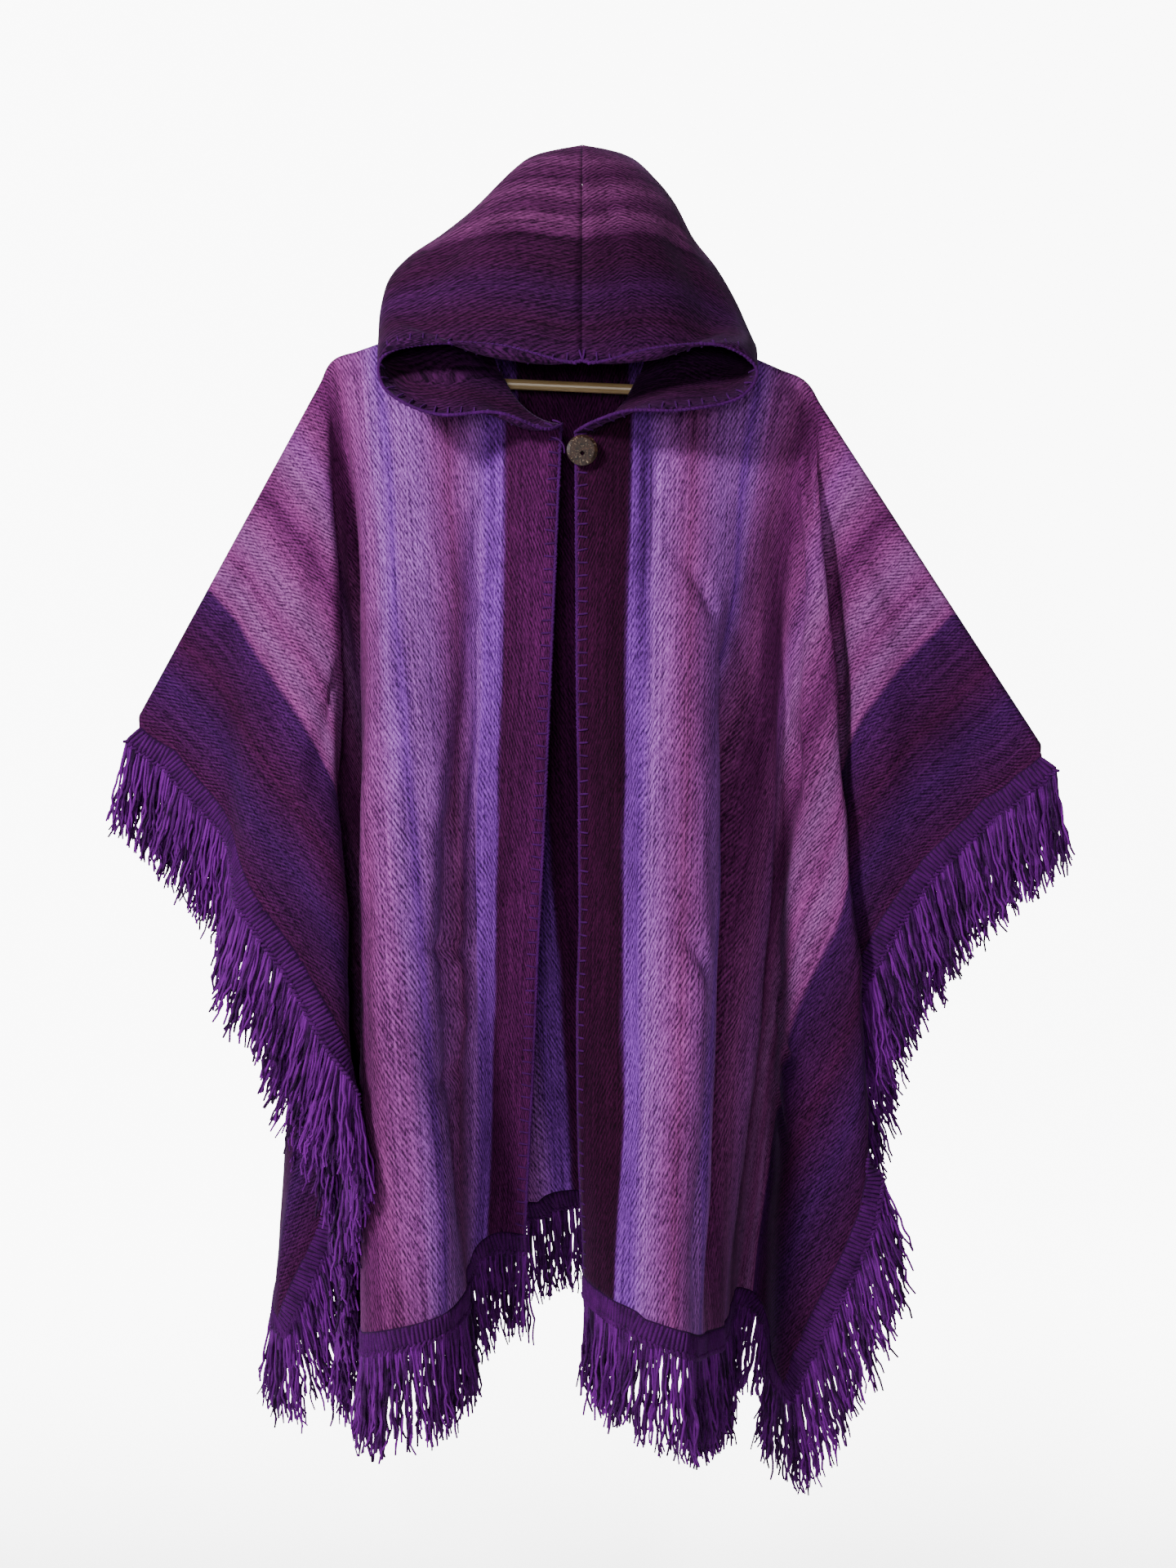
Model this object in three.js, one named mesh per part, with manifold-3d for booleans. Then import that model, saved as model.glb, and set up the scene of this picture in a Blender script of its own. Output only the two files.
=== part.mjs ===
// A hooded, open-fronted blanket poncho on a wooden clothes hanger.
// Units are millimetres, +Z is up and the front of the poncho faces -Y.
// The origin is the inner top of the hanger's hook, where a rail carries it.
import * as THREE from 'three';
import Module from 'manifold-3d';
import { mergeVertices } from 'three/addons/utils/BufferGeometryUtils.js';

const wasm = await Module();
wasm.setup();

// ---------------------------------------------------------------- driving dimensions

// The body is one rectangle of twill, slit up the middle of the front.
const clothHalfWidth = 650;
const clothLength = 945; // from the shoulder line to the hem, front and back alike
const clothWall = 2;
const seamGap = 0.3;
const swell = 0.5; // how much a neighbour grows before it is cut away
const bandGap = 1.1; // from the cloth to its trim, and from the trim to the fringe
const ridgeGap = 1.2; // between the walls of front and back along the shoulder line

// Neck opening, measured on the cloth and where it hangs.
const neckHalf = 80;
const neckDrop = 145; // how far the front slit stands open below the shoulder line
const neckDropBack = 20;
const neckForward = 60;
const neckBackward = 28;
const neckEdge = 7; // each front edge stands this far off the middle at the button
const neckFrontFall = 124;
const neckBackRise = 10;

// Hanger: bent wooden arms, a trouser bar and a wire hook.
const shoulderTop = -130; // cloth over the middle of the arms
const armSlope = 0.2;
const armCurve = 0.0005;
const hangerTilt = 0.0437; // it hangs about 2.5 degrees low on the right
const armReach = 212;
const armThickness = 13;
const armRadius = armThickness / 2;
const armClearance = 1.5;
const armSink = 4.5; // the wood stops this much short of the cloth over it
const armDepth = 34; // the wood's height at its middle
const armWaist = 14; // how much slimmer it is halfway out
const armFlare = 4; // how much deeper its ends are
const armEndDrop = 6; // how far its top rounds down at the ends
const barRadius = 5;
const barHalf = 184;
const barTop = -217;
const hookWire = 3.6;
const hookRadius = 18; // inside the crook
const hookEndAngle = 205;

// The cloth turns over the arms, and over nothing beyond their tips, on this radius.
const ridgeRadius = armRadius + armClearance + clothWall / 2;
const tipAcross = 240; // where the tip lies on the cloth, from its middle
const armShare = 0.96; // width across the arm for each millimetre along it
const tipBlend = 50;

// Each wing falls from an arm's tip to the corner where the shoulder line meets the side edge.
const wingCorner = {
  left: new THREE.Vector3(-423, 0, -546),
  right: new THREE.Vector3(456, -30, -575),
};

// Header trim, fringe, button and loop.
const trimWidth = 17;
const trimWall = 4.4;
const fringeReach = 92;
const fringeWall = 5;
const fringeSpread = 0.35;
const buttonRadius = 14.5;
const buttonThickness = 4.2;
const buttonHole = 2.6; // half the diagonal of its diamond hole
const holeOff = -3; // the hole stands this far off the button's middle
const buttonCentre = new THREE.Vector3(13, -68, -294);
const loopWire = 1.6;

// ---------------------------------------------------------------- tables

const table = (columns, rows) =>
  rows.map((row) => Object.fromEntries(columns.map((name, i) => [name, row[i]])));

// A row for each fold line of a panel, from the slit or the middle out to the side.
// across: where the fold leaves the shoulder line, to and down: where it ends on the cloth,
// x and y: where that end hangs, ease: the share of its length that small buckles leave.
const foldColumns = ['across', 'to', 'down', 'x', 'y', 'ease'];
const side = clothHalfWidth;
const hem = clothLength;

const frontLeftFolds = table(foldColumns, [
  [0, 0, hem, -44, 40, 1],
  [45, 55, hem, -80, 52, 1],
  [90, 105, hem, -102, 20, 1],
  [120, 150, hem, -98, -30, 1],
  [150, 200, hem, -120, -80, 1],
  [175, 250, hem, -163, -92, 1],
  [205, 300, hem, -194, -62, 1],
  [222, 370, hem, -195, 12, 0.99],
  [232, 490, hem, -178, 122, 0.97],
  [240, side, hem, -226, 38, 0.92],
  [248, side, 745, -219, -22, 0.92],
  [262, side, 560, -203, -76, 0.98],
  [295, side, 425, -247, -85, 0.98],
  [360, side, 310, -298, -72, 0.985],
  [475, side, 180, -332, -22, 0.98],
  [590, side, 64, -384, -8, 1],
  [640, side, 18, -418, -9, 1],
]);

const frontRightFolds = table(foldColumns, [
  [0, 0, hem, 12, -45, 1],
  [45, 55, hem, 38, -105, 1],
  [90, 105, hem, 75, -138, 1],
  [120, 150, hem, 104, -136, 1],
  [150, 195, hem, 122, -104, 1],
  [175, 270, hem, 142, -35, 1],
  [205, 360, hem, 158, 50, 1],
  [222, 450, hem, 178, 122, 0.98],
  [232, 555, hem, 206, 130, 0.97],
  [240, side, hem, 215, 40, 0.976],
  [248, side, 700, 294, 0, 0.967],
  [262, side, 540, 274, 42, 0.94],
  [295, side, 400, 300, 20, 0.95],
  [360, side, 270, 350, 8, 0.94],
  [475, side, 140, 405, -10, 0.95],
  [590, side, 58, 432, -28, 1],
  [640, side, 18, 452, -38, 1],
]);

const backLeftFolds = table(foldColumns, [
  [0, 0, hem, 55, 150, 1],
  [45, 55, hem, 8, 172, 1],
  [90, 110, hem, -44, 190, 1],
  [120, 165, hem, -92, 215, 1],
  [150, 225, hem, -140, 248, 1],
  [175, 290, hem, -192, 262, 0.99],
  [205, 360, hem, -240, 244, 0.98],
  [222, 440, hem, -280, 196, 0.97],
  [232, 550, hem, -306, 112, 0.95],
  [240, side, hem, -292, 46, 0.935],
  [248, side, 757, -244, 40, 0.97],
  [262, side, 590, -238, 18, 0.98],
  [295, side, 440, -264, 6, 0.97],
  [360, side, 310, -304, 6, 0.98],
  [475, side, 180, -336, 10, 0.97],
  [590, side, 64, -386, 10, 1],
  [640, side, 18, -418, 9, 1],
]);

const backRightFolds = table(foldColumns, [
  [0, 0, hem, 55, 150, 1],
  [45, 55, hem, 104, 165, 1],
  [90, 110, hem, 150, 190, 1],
  [120, 165, hem, 188, 228, 1],
  [150, 225, hem, 228, 262, 0.99],
  [175, 290, hem, 266, 250, 0.98],
  [205, 360, hem, 286, 234, 0.97],
  [222, 440, hem, 290, 204, 0.96],
  [232, 550, hem, 288, 166, 0.95],
  [240, side, hem, 242, 134, 0.92],
  [248, side, 757, 264, 98, 0.96],
  [262, side, 590, 284, 90, 0.97],
  [295, side, 440, 306, 78, 0.97],
  [360, side, 290, 354, 50, 0.97],
  [475, side, 150, 404, 18, 0.97],
  [590, side, 58, 432, -12, 1],
  [640, side, 18, 452, -21, 1],
]);

// A row for each section of a hood half, from the crown down to the neck seam.
// Each runs from its front end (on the centre seam, then on the rim) round the side fold
// to its back end on the centre seam behind.
const hoodColumns = ['frontX', 'frontY', 'frontZ', 'sideX', 'sideY', 'sideZ', 'backX', 'backY', 'backZ'];

const hoodLeftSections = table(hoodColumns, [
  [13, -24, 9, 13, -6, 12, 13, 12, 9],
  [13, -40, -4, -18, -8, 8, 13, 22, -4],
  [13, -58, -28, -46, -10, -5, 12, 30, -22],
  [13, -78, -72, -91, -14, -46, 11, 38, -52],
  [13, -92, -115, -125, -18, -75, 10, 42, -80],
  [13, -103, -165, -153, -22, -99, 9, 42, -100],
  [13, -110, -222, -172, -26, -122, 8, 40, -113],
  [-60, -108, -208, -180, -28, -148, 7, 38, -121],
  [-130, -98, -203, -182, -28, -168, 6, 36, -126],
  [-172, -80, -210, -180, -30, -182, 5, 34, -129],
  [-168, -84, -242, -170, -28, -190, 4, 33, -131],
  [-122, -92, -266, -148, -24, -184, 3, 32, -132],
  [-66, -90, -264, -118, -20, -163, 2, 31, -133],
  [-24, -78, -276, -96, -10, -143, 1, 30, -134],
]);

const hoodRightSections = table(hoodColumns, [
  [13, -24, 9, 13, -6, 12, 13, 12, 9],
  [13, -40, -4, 40, -8, 8, 13, 22, -4],
  [13, -58, -28, 66, -10, -8, 12, 30, -22],
  [13, -78, -72, 104, -14, -42, 11, 38, -52],
  [13, -92, -115, 122, -18, -78, 10, 42, -80],
  [13, -103, -165, 140, -22, -108, 9, 42, -100],
  [13, -110, -222, 155, -26, -136, 8, 40, -113],
  [80, -108, -210, 166, -28, -158, 7, 38, -121],
  [140, -100, -205, 174, -30, -176, 6, 36, -126],
  [174, -84, -222, 178, -32, -190, 5, 34, -129],
  [158, -88, -250, 170, -28, -196, 4, 33, -131],
  [105, -92, -262, 150, -24, -190, 3, 32, -132],
  [55, -88, -262, 120, -20, -168, 2, 31, -133],
  [22, -76, -270, 97, -10, -150, 1, 30, -134],
]);

// ---------------------------------------------------------------- small helpers

const mix = (a, b, t) => a + (b - a) * t;
const smooth = (t) => t * t * (3 - 2 * t);
const clamp01 = (t) => Math.min(1, Math.max(0, t));

// Value of one column between rows: straight for places on the cloth, rounded where it hangs.
function straight(rows, name, k) {
  const i = Math.min(Math.floor(k), rows.length - 2);
  return mix(rows[i][name], rows[i + 1][name], k - i);
}

function rounded(rows, name, k) {
  const i = Math.min(Math.floor(k), rows.length - 2);
  const at = (n) => rows[Math.min(Math.max(n, 0), rows.length - 1)][name];
  const t = k - i;
  const [a, b, c, d] = [at(i - 1), at(i), at(i + 1), at(i + 2)];
  return 0.5 * (2 * b + (c - a) * t + (2 * a - 5 * b + 4 * c - d) * t * t + (3 * b - a - 3 * c + d) * t ** 3);
}

// A closed wall of even thickness on a grid of points, rows down and columns across.
function wall(grid, thickness) {
  const rowCount = grid.length;
  const columnCount = grid[0].length;
  const positions = [];
  const index = [];
  const faces = [1, -1].map((side) =>
    grid.map((row, i) =>
      row.map((point, j) => {
        const down = grid[Math.min(i + 1, rowCount - 1)][j].clone().sub(grid[Math.max(i - 1, 0)][j]);
        const across = row[Math.min(j + 1, columnCount - 1)].clone().sub(row[Math.max(j - 1, 0)]);
        const normal = down.cross(across).normalize();
        const moved = point.clone().addScaledVector(normal, (side * thickness) / 2);
        positions.push(moved.x, moved.y, moved.z);
        return positions.length / 3 - 1;
      })
    )
  );
  const quad = (a, b, c, d) => index.push(a, b, c, a, c, d);
  const [outer, inner] = faces;
  for (let i = 0; i < rowCount - 1; i++) {
    for (let j = 0; j < columnCount - 1; j++) {
      quad(outer[i][j], outer[i + 1][j], outer[i + 1][j + 1], outer[i][j + 1]);
      quad(inner[i][j], inner[i][j + 1], inner[i + 1][j + 1], inner[i + 1][j]);
    }
  }
  const last = rowCount - 1;
  const end = columnCount - 1;
  for (let j = 0; j < end; j++) {
    quad(outer[0][j], outer[0][j + 1], inner[0][j + 1], inner[0][j]);
    quad(outer[last][j + 1], outer[last][j], inner[last][j], inner[last][j + 1]);
  }
  for (let i = 0; i < last; i++) {
    quad(outer[i + 1][0], outer[i][0], inner[i][0], inner[i + 1][0]);
    quad(outer[i][end], outer[i + 1][end], inner[i + 1][end], inner[i][end]);
  }
  const geometry = new THREE.BufferGeometry();
  geometry.setAttribute('position', new THREE.Float32BufferAttribute(positions, 3));
  geometry.setIndex(index);
  return geometry;
}

// The same wall grown by a little more than a seam's gap on every side.
function swollen(grid, thickness) {
  const stretch = (line) => {
    const [first, last] = [line[0], line[line.length - 1]];
    const before = first.clone().sub(line[1]).setLength(swell).add(first);
    const after = last.clone().sub(line[line.length - 2]).setLength(swell).add(last);
    return [before, ...line.slice(1, -1), after];
  };
  const wide = grid.map(stretch);
  const columns = wide[0].map((_, j) => stretch(wide.map((row) => row[j])));
  const tall = wide.map((_, i) => columns.map((column) => column[i]));
  return wall(tall, thickness + 2 * swell);
}

// A closed solid through rings of points, with a flat cap at each end.
function loft(rings) {
  const sides = rings[0].length;
  const positions = rings.flat().flatMap((point) => [point.x, point.y, point.z]);
  const index = [];
  for (let i = 0; i < rings.length - 1; i++) {
    for (let j = 0; j < sides; j++) {
      const next = (j + 1) % sides;
      const [a, b] = [i * sides + j, i * sides + next];
      index.push(a, b, b + sides, a, b + sides, a + sides);
    }
  }
  const lastRing = (rings.length - 1) * sides;
  for (let j = 1; j < sides - 1; j++) {
    index.push(0, j + 1, j);
    index.push(lastRing, lastRing + j, lastRing + j + 1);
  }
  const geometry = new THREE.BufferGeometry();
  geometry.setAttribute('position', new THREE.Float32BufferAttribute(positions, 3));
  geometry.setIndex(index);
  return geometry;
}

function solid(geometry) {
  const bare = geometry.clone();
  bare.deleteAttribute('normal');
  bare.deleteAttribute('uv');
  const merged = mergeVertices(bare, 1e-4);
  const vertProperties = new Float32Array(merged.attributes.position.array);
  const triVerts = new Uint32Array(merged.index.array);
  return new wasm.Manifold(new wasm.Mesh({ numProp: 3, vertProperties, triVerts }));
}

// The body with the tools cut away, without any crumbs that the cut leaves.
function cut(body, ...tools) {
  const left = tools.reduce((rest, tool) => rest.subtract(solid(tool)), solid(body));
  const pieces = left.decompose().sort((a, b) => b.volume() - a.volume());
  const mesh = pieces[0].getMesh();
  const geometry = new THREE.BufferGeometry();
  geometry.setAttribute('position', new THREE.BufferAttribute(new Float32Array(mesh.vertProperties), 3));
  geometry.setIndex(new THREE.BufferAttribute(new Uint32Array(mesh.triVerts), 1));
  return geometry;
}

// ---------------------------------------------------------------- where the cloth hangs

// Height of the cloth over the hanger's arms.
const armHeight = (x) => shoulderTop - armSlope * Math.abs(x) - armCurve * x * x - hangerTilt * x;

// A point of the shoulder line: along the arm, then down the wing to its corner.
function ridge(hand, across) {
  const x = hand * across * armShare;
  const onArm = new THREE.Vector3(x, 0, armHeight(x));
  const tipX = hand * tipAcross * armShare;
  const tip = new THREE.Vector3(tipX, 0, armHeight(tipX));
  const corner = hand < 0 ? wingCorner.left : wingCorner.right;
  const along = (across - tipAcross) / (clothHalfWidth - tipAcross);
  const onWing = tip.clone().lerp(corner, along);
  return onArm.lerp(onWing, smooth(clamp01((across - tipAcross) / tipBlend + 0.5)));
}

// A point of the neck seam, from its front or back middle (0) round to the shoulder (90 degrees).
function neck(hand, face, angle) {
  const shoulder = ridge(hand, neckHalf);
  const edge = face < 0 ? neckEdge : 0;
  const x = hand * edge + (shoulder.x - hand * edge) * Math.sin(angle);
  const y = Math.cos(angle) * (face < 0 ? -neckForward : neckBackward);
  const z = shoulder.z + Math.cos(angle) * (face < 0 ? -neckFrontFall : neckBackRise);
  return new THREE.Vector3(x, y, z);
}

// hand: -1 viewer's left, 1 right. face: -1 front, 1 back. turn: 0 to 1 round the ridge,
// fall: 0 to 1 from there down the fold line to the cloth's edge.
function clothPoint(hand, face, folds, k, turn, fall) {
  const across = straight(folds, 'across', k);
  const onNeck = across < neckHalf;
  const angle = Math.asin(Math.min(1, across / neckHalf));
  const opened = onNeck ? Math.cos(angle) * (face < 0 ? neckDrop : neckDropBack) : 0;
  const top = onNeck ? neck(hand, face, angle) : ridge(hand, across);
  const radius = mix(ridgeRadius / 6, ridgeRadius, clamp01(k - 1));
  const quarter = (turn * Math.PI) / 2;
  const start = Math.min(quarter + ridgeGap / 2 / radius, Math.PI / 2);
  const bend = new THREE.Vector3(0, face * radius * Math.sin(start), radius * (Math.cos(start) - 1));
  const below = top.add(bend);
  if (fall === 0) return below;
  const across2 = straight(folds, 'to', k) - across;
  const down2 = straight(folds, 'down', k) - opened;
  const length = straight(folds, 'ease', k) * Math.hypot(across2, down2) - (radius * Math.PI) / 2;
  const endX = rounded(folds, 'x', k);
  const endY = rounded(folds, 'y', k);
  const drop = Math.sqrt(Math.max(length ** 2 - (endX - below.x) ** 2 - (endY - below.y) ** 2, 1));
  return below.lerp(new THREE.Vector3(endX, endY, below.z - drop), fall);
}

const turnSteps = 2;
const fallSteps = 7;
const stepsPerFold = 2;

function panelGrid(hand, face, folds) {
  const grid = [];
  const last = (folds.length - 1) * stepsPerFold;
  for (let i = 0; i <= turnSteps + fallSteps; i++) {
    const turn = Math.min(i / turnSteps, 1);
    const fall = Math.max((i - turnSteps) / fallSteps, 0);
    const row = [];
    for (let j = 0; j <= last; j++) row.push(clothPoint(hand, face, folds, j / stepsPerFold, turn, fall));
    grid.push(row);
  }
  return grid;
}

// The header trim carries on past the cloth's edge, and the fringe hangs from the trim.
function edgeBands(grid) {
  const edge = grid[grid.length - 1];
  const above = grid[grid.length - 2];
  const down = new THREE.Vector3(0, 0, -1);
  const trim = [[], []];
  const fringe = [[], []];
  edge.forEach((point, j) => {
    const tangent = edge[Math.min(j + 1, edge.length - 1)].clone().sub(edge[Math.max(j - 1, 0)]).normalize();
    const out = point.clone().sub(above[j]).normalize();
    out.addScaledVector(tangent, -out.dot(tangent)).normalize();
    const hang = out.clone().multiplyScalar(fringeSpread).add(down).normalize();
    const hem = point.clone().addScaledVector(out, trimWidth);
    trim[0].push(point.clone().addScaledVector(out, bandGap));
    trim[1].push(hem);
    const foot = hem.clone().addScaledVector(out, bandGap);
    fringe[0].push(foot);
    fringe[1].push(foot.clone().addScaledVector(hang, fringeReach));
  });
  return { trim, fringe };
}

// ---------------------------------------------------------------- hood

const hoodSteps = 5; // from the front end of a section to the side fold, and again to the back
const crossing = 12; // how quickly a section rises from the side fold over the shoulder
const hoodLift = 3.6; // the hood's neck edge stands this far off the body's neck edge
const hoodSeam = 13; // where the centre seam runs, from the crown to the rim
const crownSections = 3; // the crown is sharp on these, and the halves stand further apart
const seamSections = 7; // these start on the centre seam, and the others on the rim
const halfSeam = (seamGap + clothWall) / 2;
const halfSeamBelow = seamGap / 2 + clothWall * 0.375;

function hoodPoint(hand, section, j) {
  const front = j <= hoodSteps;
  const angle = ((front ? j / hoodSteps : 2 - j / hoodSteps) * Math.PI) / 2;
  const [s, c] = [Math.sin(angle), Math.cos(angle)];
  const endX = front ? section.frontX : section.backX;
  const endY = front ? section.frontY : section.backY;
  const endZ = front ? section.frontZ : section.backZ;
  const x = endX + (section.sideX - endX) * s;
  const y = section.sideY + (endY - section.sideY) * c;
  const rise = front ? c : 1 - s ** crossing;
  return new THREE.Vector3(x, y, section.sideZ + (endZ - section.sideZ) * rise);
}

function hoodGrid(hand, sections) {
  const grid = sections.map((section, i) => {
    const row = [];
    for (let j = 0; j <= 2 * hoodSteps; j++) row.push(hoodPoint(hand, section, j));
    // The centre seam stays clear of the other half, by more where the crown is sharp.
    const clear = i < crownSections ? halfSeam : halfSeamBelow;
    const keepOff = (point) => hand * Math.max(hand * point.x, hand * hoodSeam + clear);
    if (i < seamSections) row[0].x = keepOff(row[0]);
    row[2 * hoodSteps].x += hand * clear;
    if (i === 0) row.forEach((point) => (point.x = keepOff(point)));
    return row;
  });
  const neckRow = [];
  for (let j = 0; j <= 2 * hoodSteps; j++) {
    const face = j <= hoodSteps ? -1 : 1;
    const angle = ((face < 0 ? j / hoodSteps : 2 - j / hoodSteps) * Math.PI) / 2;
    const forward = face < 0 ? Math.cos(angle) : 0;
    const up = face < 0 ? Math.sin(angle) : 1;
    const off = new THREE.Vector3(0, -forward * hoodLift, up * hoodLift);
    neckRow.push(neck(hand, face, angle).add(off));
  }
  neckRow[2 * hoodSteps].x += hand * halfSeam;
  grid.push(neckRow);
  return grid;
}

// ---------------------------------------------------------------- hanger

const woodTop = (x) => armHeight(x) - armClearance - clothWall / 2 - armSink;

function hangerArms() {
  const rings = [];
  const ringSides = 12;
  const ringCount = 24;
  const endCurve = 10; // the higher, the blunter the ends
  const endCap = 0.05; // square of the share of its section left at the very end
  const fullness = 0.8; // below 1 the section is squarer than an ellipse
  for (let i = 0; i <= ringCount; i++) {
    const x = mix(-armReach, armReach, i / ringCount);
    const share = Math.abs(x) / armReach;
    const round = Math.sqrt(Math.max(1 - share ** endCurve, endCap));
    const height = (armDepth - armWaist * Math.sin(share * Math.PI) + armFlare * share) * round;
    const top = woodTop(x) - (1 - round) * armEndDrop;
    const ring = [];
    for (let j = 0; j < ringSides; j++) {
      const angle = (j / ringSides) * 2 * Math.PI;
      const lift = Math.sign(Math.sin(angle)) * Math.abs(Math.sin(angle)) ** fullness;
      const z = top - height / 2 + (height / 2) * lift;
      ring.push(new THREE.Vector3(x, armRadius * round * Math.cos(angle), z));
    }
    rings.push(ring);
  }
  return loft(rings);
}

function tiltedBar(radius, half) {
  const bar = new THREE.CylinderGeometry(radius, radius, 2 * half, 16);
  bar.rotateZ(Math.PI / 2);
  bar.rotateY(Math.atan(hangerTilt));
  bar.translate(0, 0, barTop);
  return bar;
}

class HookCurve extends THREE.Curve {
  constructor(foot) {
    super();
    this.crook = hookRadius + hookWire / 2;
    this.centre = -hookRadius;
    this.foot = foot;
    this.shank = this.centre - this.crook - foot;
    this.sweep = (hookEndAngle * Math.PI) / 180;
    this.total = this.shank + this.crook * this.sweep;
  }

  getPoint(t, target = new THREE.Vector3()) {
    const distance = t * this.total;
    if (distance < this.shank) return target.set(0, 0, this.foot + distance);
    const angle = -Math.PI / 2 + (distance - this.shank) / this.crook;
    return target.set(this.crook * Math.cos(angle), 0, this.centre + this.crook * Math.sin(angle));
  }
}

function roundSection(radius, sides) {
  const shape = new THREE.Shape();
  for (let i = 0; i < sides; i++) {
    const angle = (i / sides) * 2 * Math.PI;
    if (i === 0) shape.moveTo(radius, 0);
    else shape.lineTo(radius * Math.cos(angle), radius * Math.sin(angle));
  }
  return shape;
}

// ---------------------------------------------------------------- button and loop

// Turned on its axis from behind: a flat back, a rounded rim and a face dished to the middle.
function buttonDisc() {
  const profile = table(['radius', 'height'], [
    [0, -1],
    [0.8, -1],
    [1, -0.3],
    [1, 0.3],
    [0.85, 1],
    [0.5, 0.75],
    [0, 0.7],
  ]).map(({ radius, height }) => new THREE.Vector2(radius * buttonRadius, (height * buttonThickness) / 2));
  const disc = new THREE.LatheGeometry(profile, 32);
  const hole = new THREE.CylinderGeometry(buttonHole, buttonHole, 4 * buttonThickness, 4);
  hole.translate(0, 0, holeOff);
  const drilled = cut(disc, hole);
  drilled.translate(buttonCentre.x, buttonCentre.y, buttonCentre.z);
  return drilled;
}

// ---------------------------------------------------------------- assembly

const poncho = new THREE.Group();

function add(name, geometry, colour, roughness, metalness = 0) {
  const material = new THREE.MeshStandardMaterial({ color: colour, roughness, metalness });
  const mesh = new THREE.Mesh(geometry, material);
  mesh.name = name;
  poncho.add(mesh);
}

const violet = 0x7d5fb4;
const mauve = 0x96558c;
const plum = 0x3c194b;
const trimPurple = 0x4b146e;

const frontLeft = panelGrid(-1, -1, frontLeftFolds);
const frontRight = panelGrid(1, -1, frontRightFolds);
const backLeft = panelGrid(-1, 1, backLeftFolds);
const backRight = panelGrid(1, 1, backRightFolds);
const back = backLeft.map((row, i) => row.slice(1).reverse().concat(backRight[i]));

const panels = [
  { name: 'front_left', grid: frontLeft, colour: violet },
  { name: 'front_right', grid: frontRight, colour: violet },
  { name: 'back', grid: back, colour: mauve },
];

// Where folds bring them together, the hood, trims and fringes give way to the cloth beside
// them, and each band to the ones before it, with a seam's gap or more all round.
const keepClear = panels.flatMap((panel) => [swollen(panel.grid, clothWall), wall(panel.grid, clothWall)]);
for (const { name, grid, colour } of panels) {
  add(name, wall(grid, clothWall), colour, 0.9);
}
for (const { name, grid } of panels) {
  const bands = edgeBands(grid);
  for (const [kind, band, thickness] of [
    ['trim', bands.trim, trimWall],
    ['fringe', bands.fringe, fringeWall],
  ]) {
    add(`${name}_${kind}`, cut(wall(band, thickness), ...keepClear), trimPurple, 0.95);
    keepClear.push(swollen(band, thickness), wall(band, thickness));
  }
}

const bodyCloth = keepClear.slice(0, 2 * panels.length);
add('hood_left', cut(wall(hoodGrid(-1, hoodLeftSections), clothWall), ...bodyCloth), plum, 0.9);
add('hood_right', cut(wall(hoodGrid(1, hoodRightSections), clothWall), ...bodyCloth), plum, 0.9);

const barBore = tiltedBar(barRadius + seamGap, barHalf + seamGap);
add('hanger_arms', cut(hangerArms(), barBore), 0xc9a36a, 0.5);
add('trouser_bar', tiltedBar(barRadius, barHalf), 0xd9bb85, 0.5);

const hookFoot = woodTop(0) + seamGap;
const hook = new THREE.ExtrudeGeometry(roundSection(hookWire / 2, 10), {
  steps: 44,
  bevelEnabled: false,
  extrudePath: new HookCurve(hookFoot),
});
add('hook', hook, 0xb9bcc0, 0.3, 1);

add('button', buttonDisc(), 0x5a4030, 0.45);
const loopPath = new THREE.CatmullRomCurve3([
  new THREE.Vector3(-16, -66, -281),
  new THREE.Vector3(-9, -67.5, -284),
  new THREE.Vector3(-4.5, -69, -290),
  new THREE.Vector3(-3.5, -70, -297),
]);
const loop = new THREE.ExtrudeGeometry(roundSection(loopWire / 2, 8), {
  steps: 16,
  bevelEnabled: false,
  extrudePath: loopPath,
});
add('button_loop', loop, trimPurple, 0.9);

export default poncho;
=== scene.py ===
import math

import bmesh
import bpy
import numpy as np
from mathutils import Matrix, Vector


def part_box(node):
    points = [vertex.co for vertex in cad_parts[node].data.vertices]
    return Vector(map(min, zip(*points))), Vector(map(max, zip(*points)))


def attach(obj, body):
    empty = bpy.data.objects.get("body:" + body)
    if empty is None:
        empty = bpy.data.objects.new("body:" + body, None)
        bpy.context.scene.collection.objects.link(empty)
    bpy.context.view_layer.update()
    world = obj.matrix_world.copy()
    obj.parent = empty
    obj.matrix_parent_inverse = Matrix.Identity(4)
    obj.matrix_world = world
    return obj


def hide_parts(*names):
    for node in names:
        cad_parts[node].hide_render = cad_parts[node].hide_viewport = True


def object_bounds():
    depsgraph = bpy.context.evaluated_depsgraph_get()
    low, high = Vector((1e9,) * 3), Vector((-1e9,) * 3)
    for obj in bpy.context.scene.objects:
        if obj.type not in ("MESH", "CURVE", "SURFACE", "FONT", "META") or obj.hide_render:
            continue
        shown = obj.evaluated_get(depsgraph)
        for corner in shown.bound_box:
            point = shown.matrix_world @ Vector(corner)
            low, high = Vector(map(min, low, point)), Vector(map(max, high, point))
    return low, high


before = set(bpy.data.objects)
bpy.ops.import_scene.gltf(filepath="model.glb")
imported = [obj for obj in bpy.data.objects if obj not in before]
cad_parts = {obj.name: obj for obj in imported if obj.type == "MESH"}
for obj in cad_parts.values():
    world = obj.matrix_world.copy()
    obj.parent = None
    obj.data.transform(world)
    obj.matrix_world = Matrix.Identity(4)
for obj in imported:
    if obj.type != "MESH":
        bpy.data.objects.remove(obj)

cad_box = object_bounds()
scene = bpy.context.scene
mm = 0.001


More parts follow.
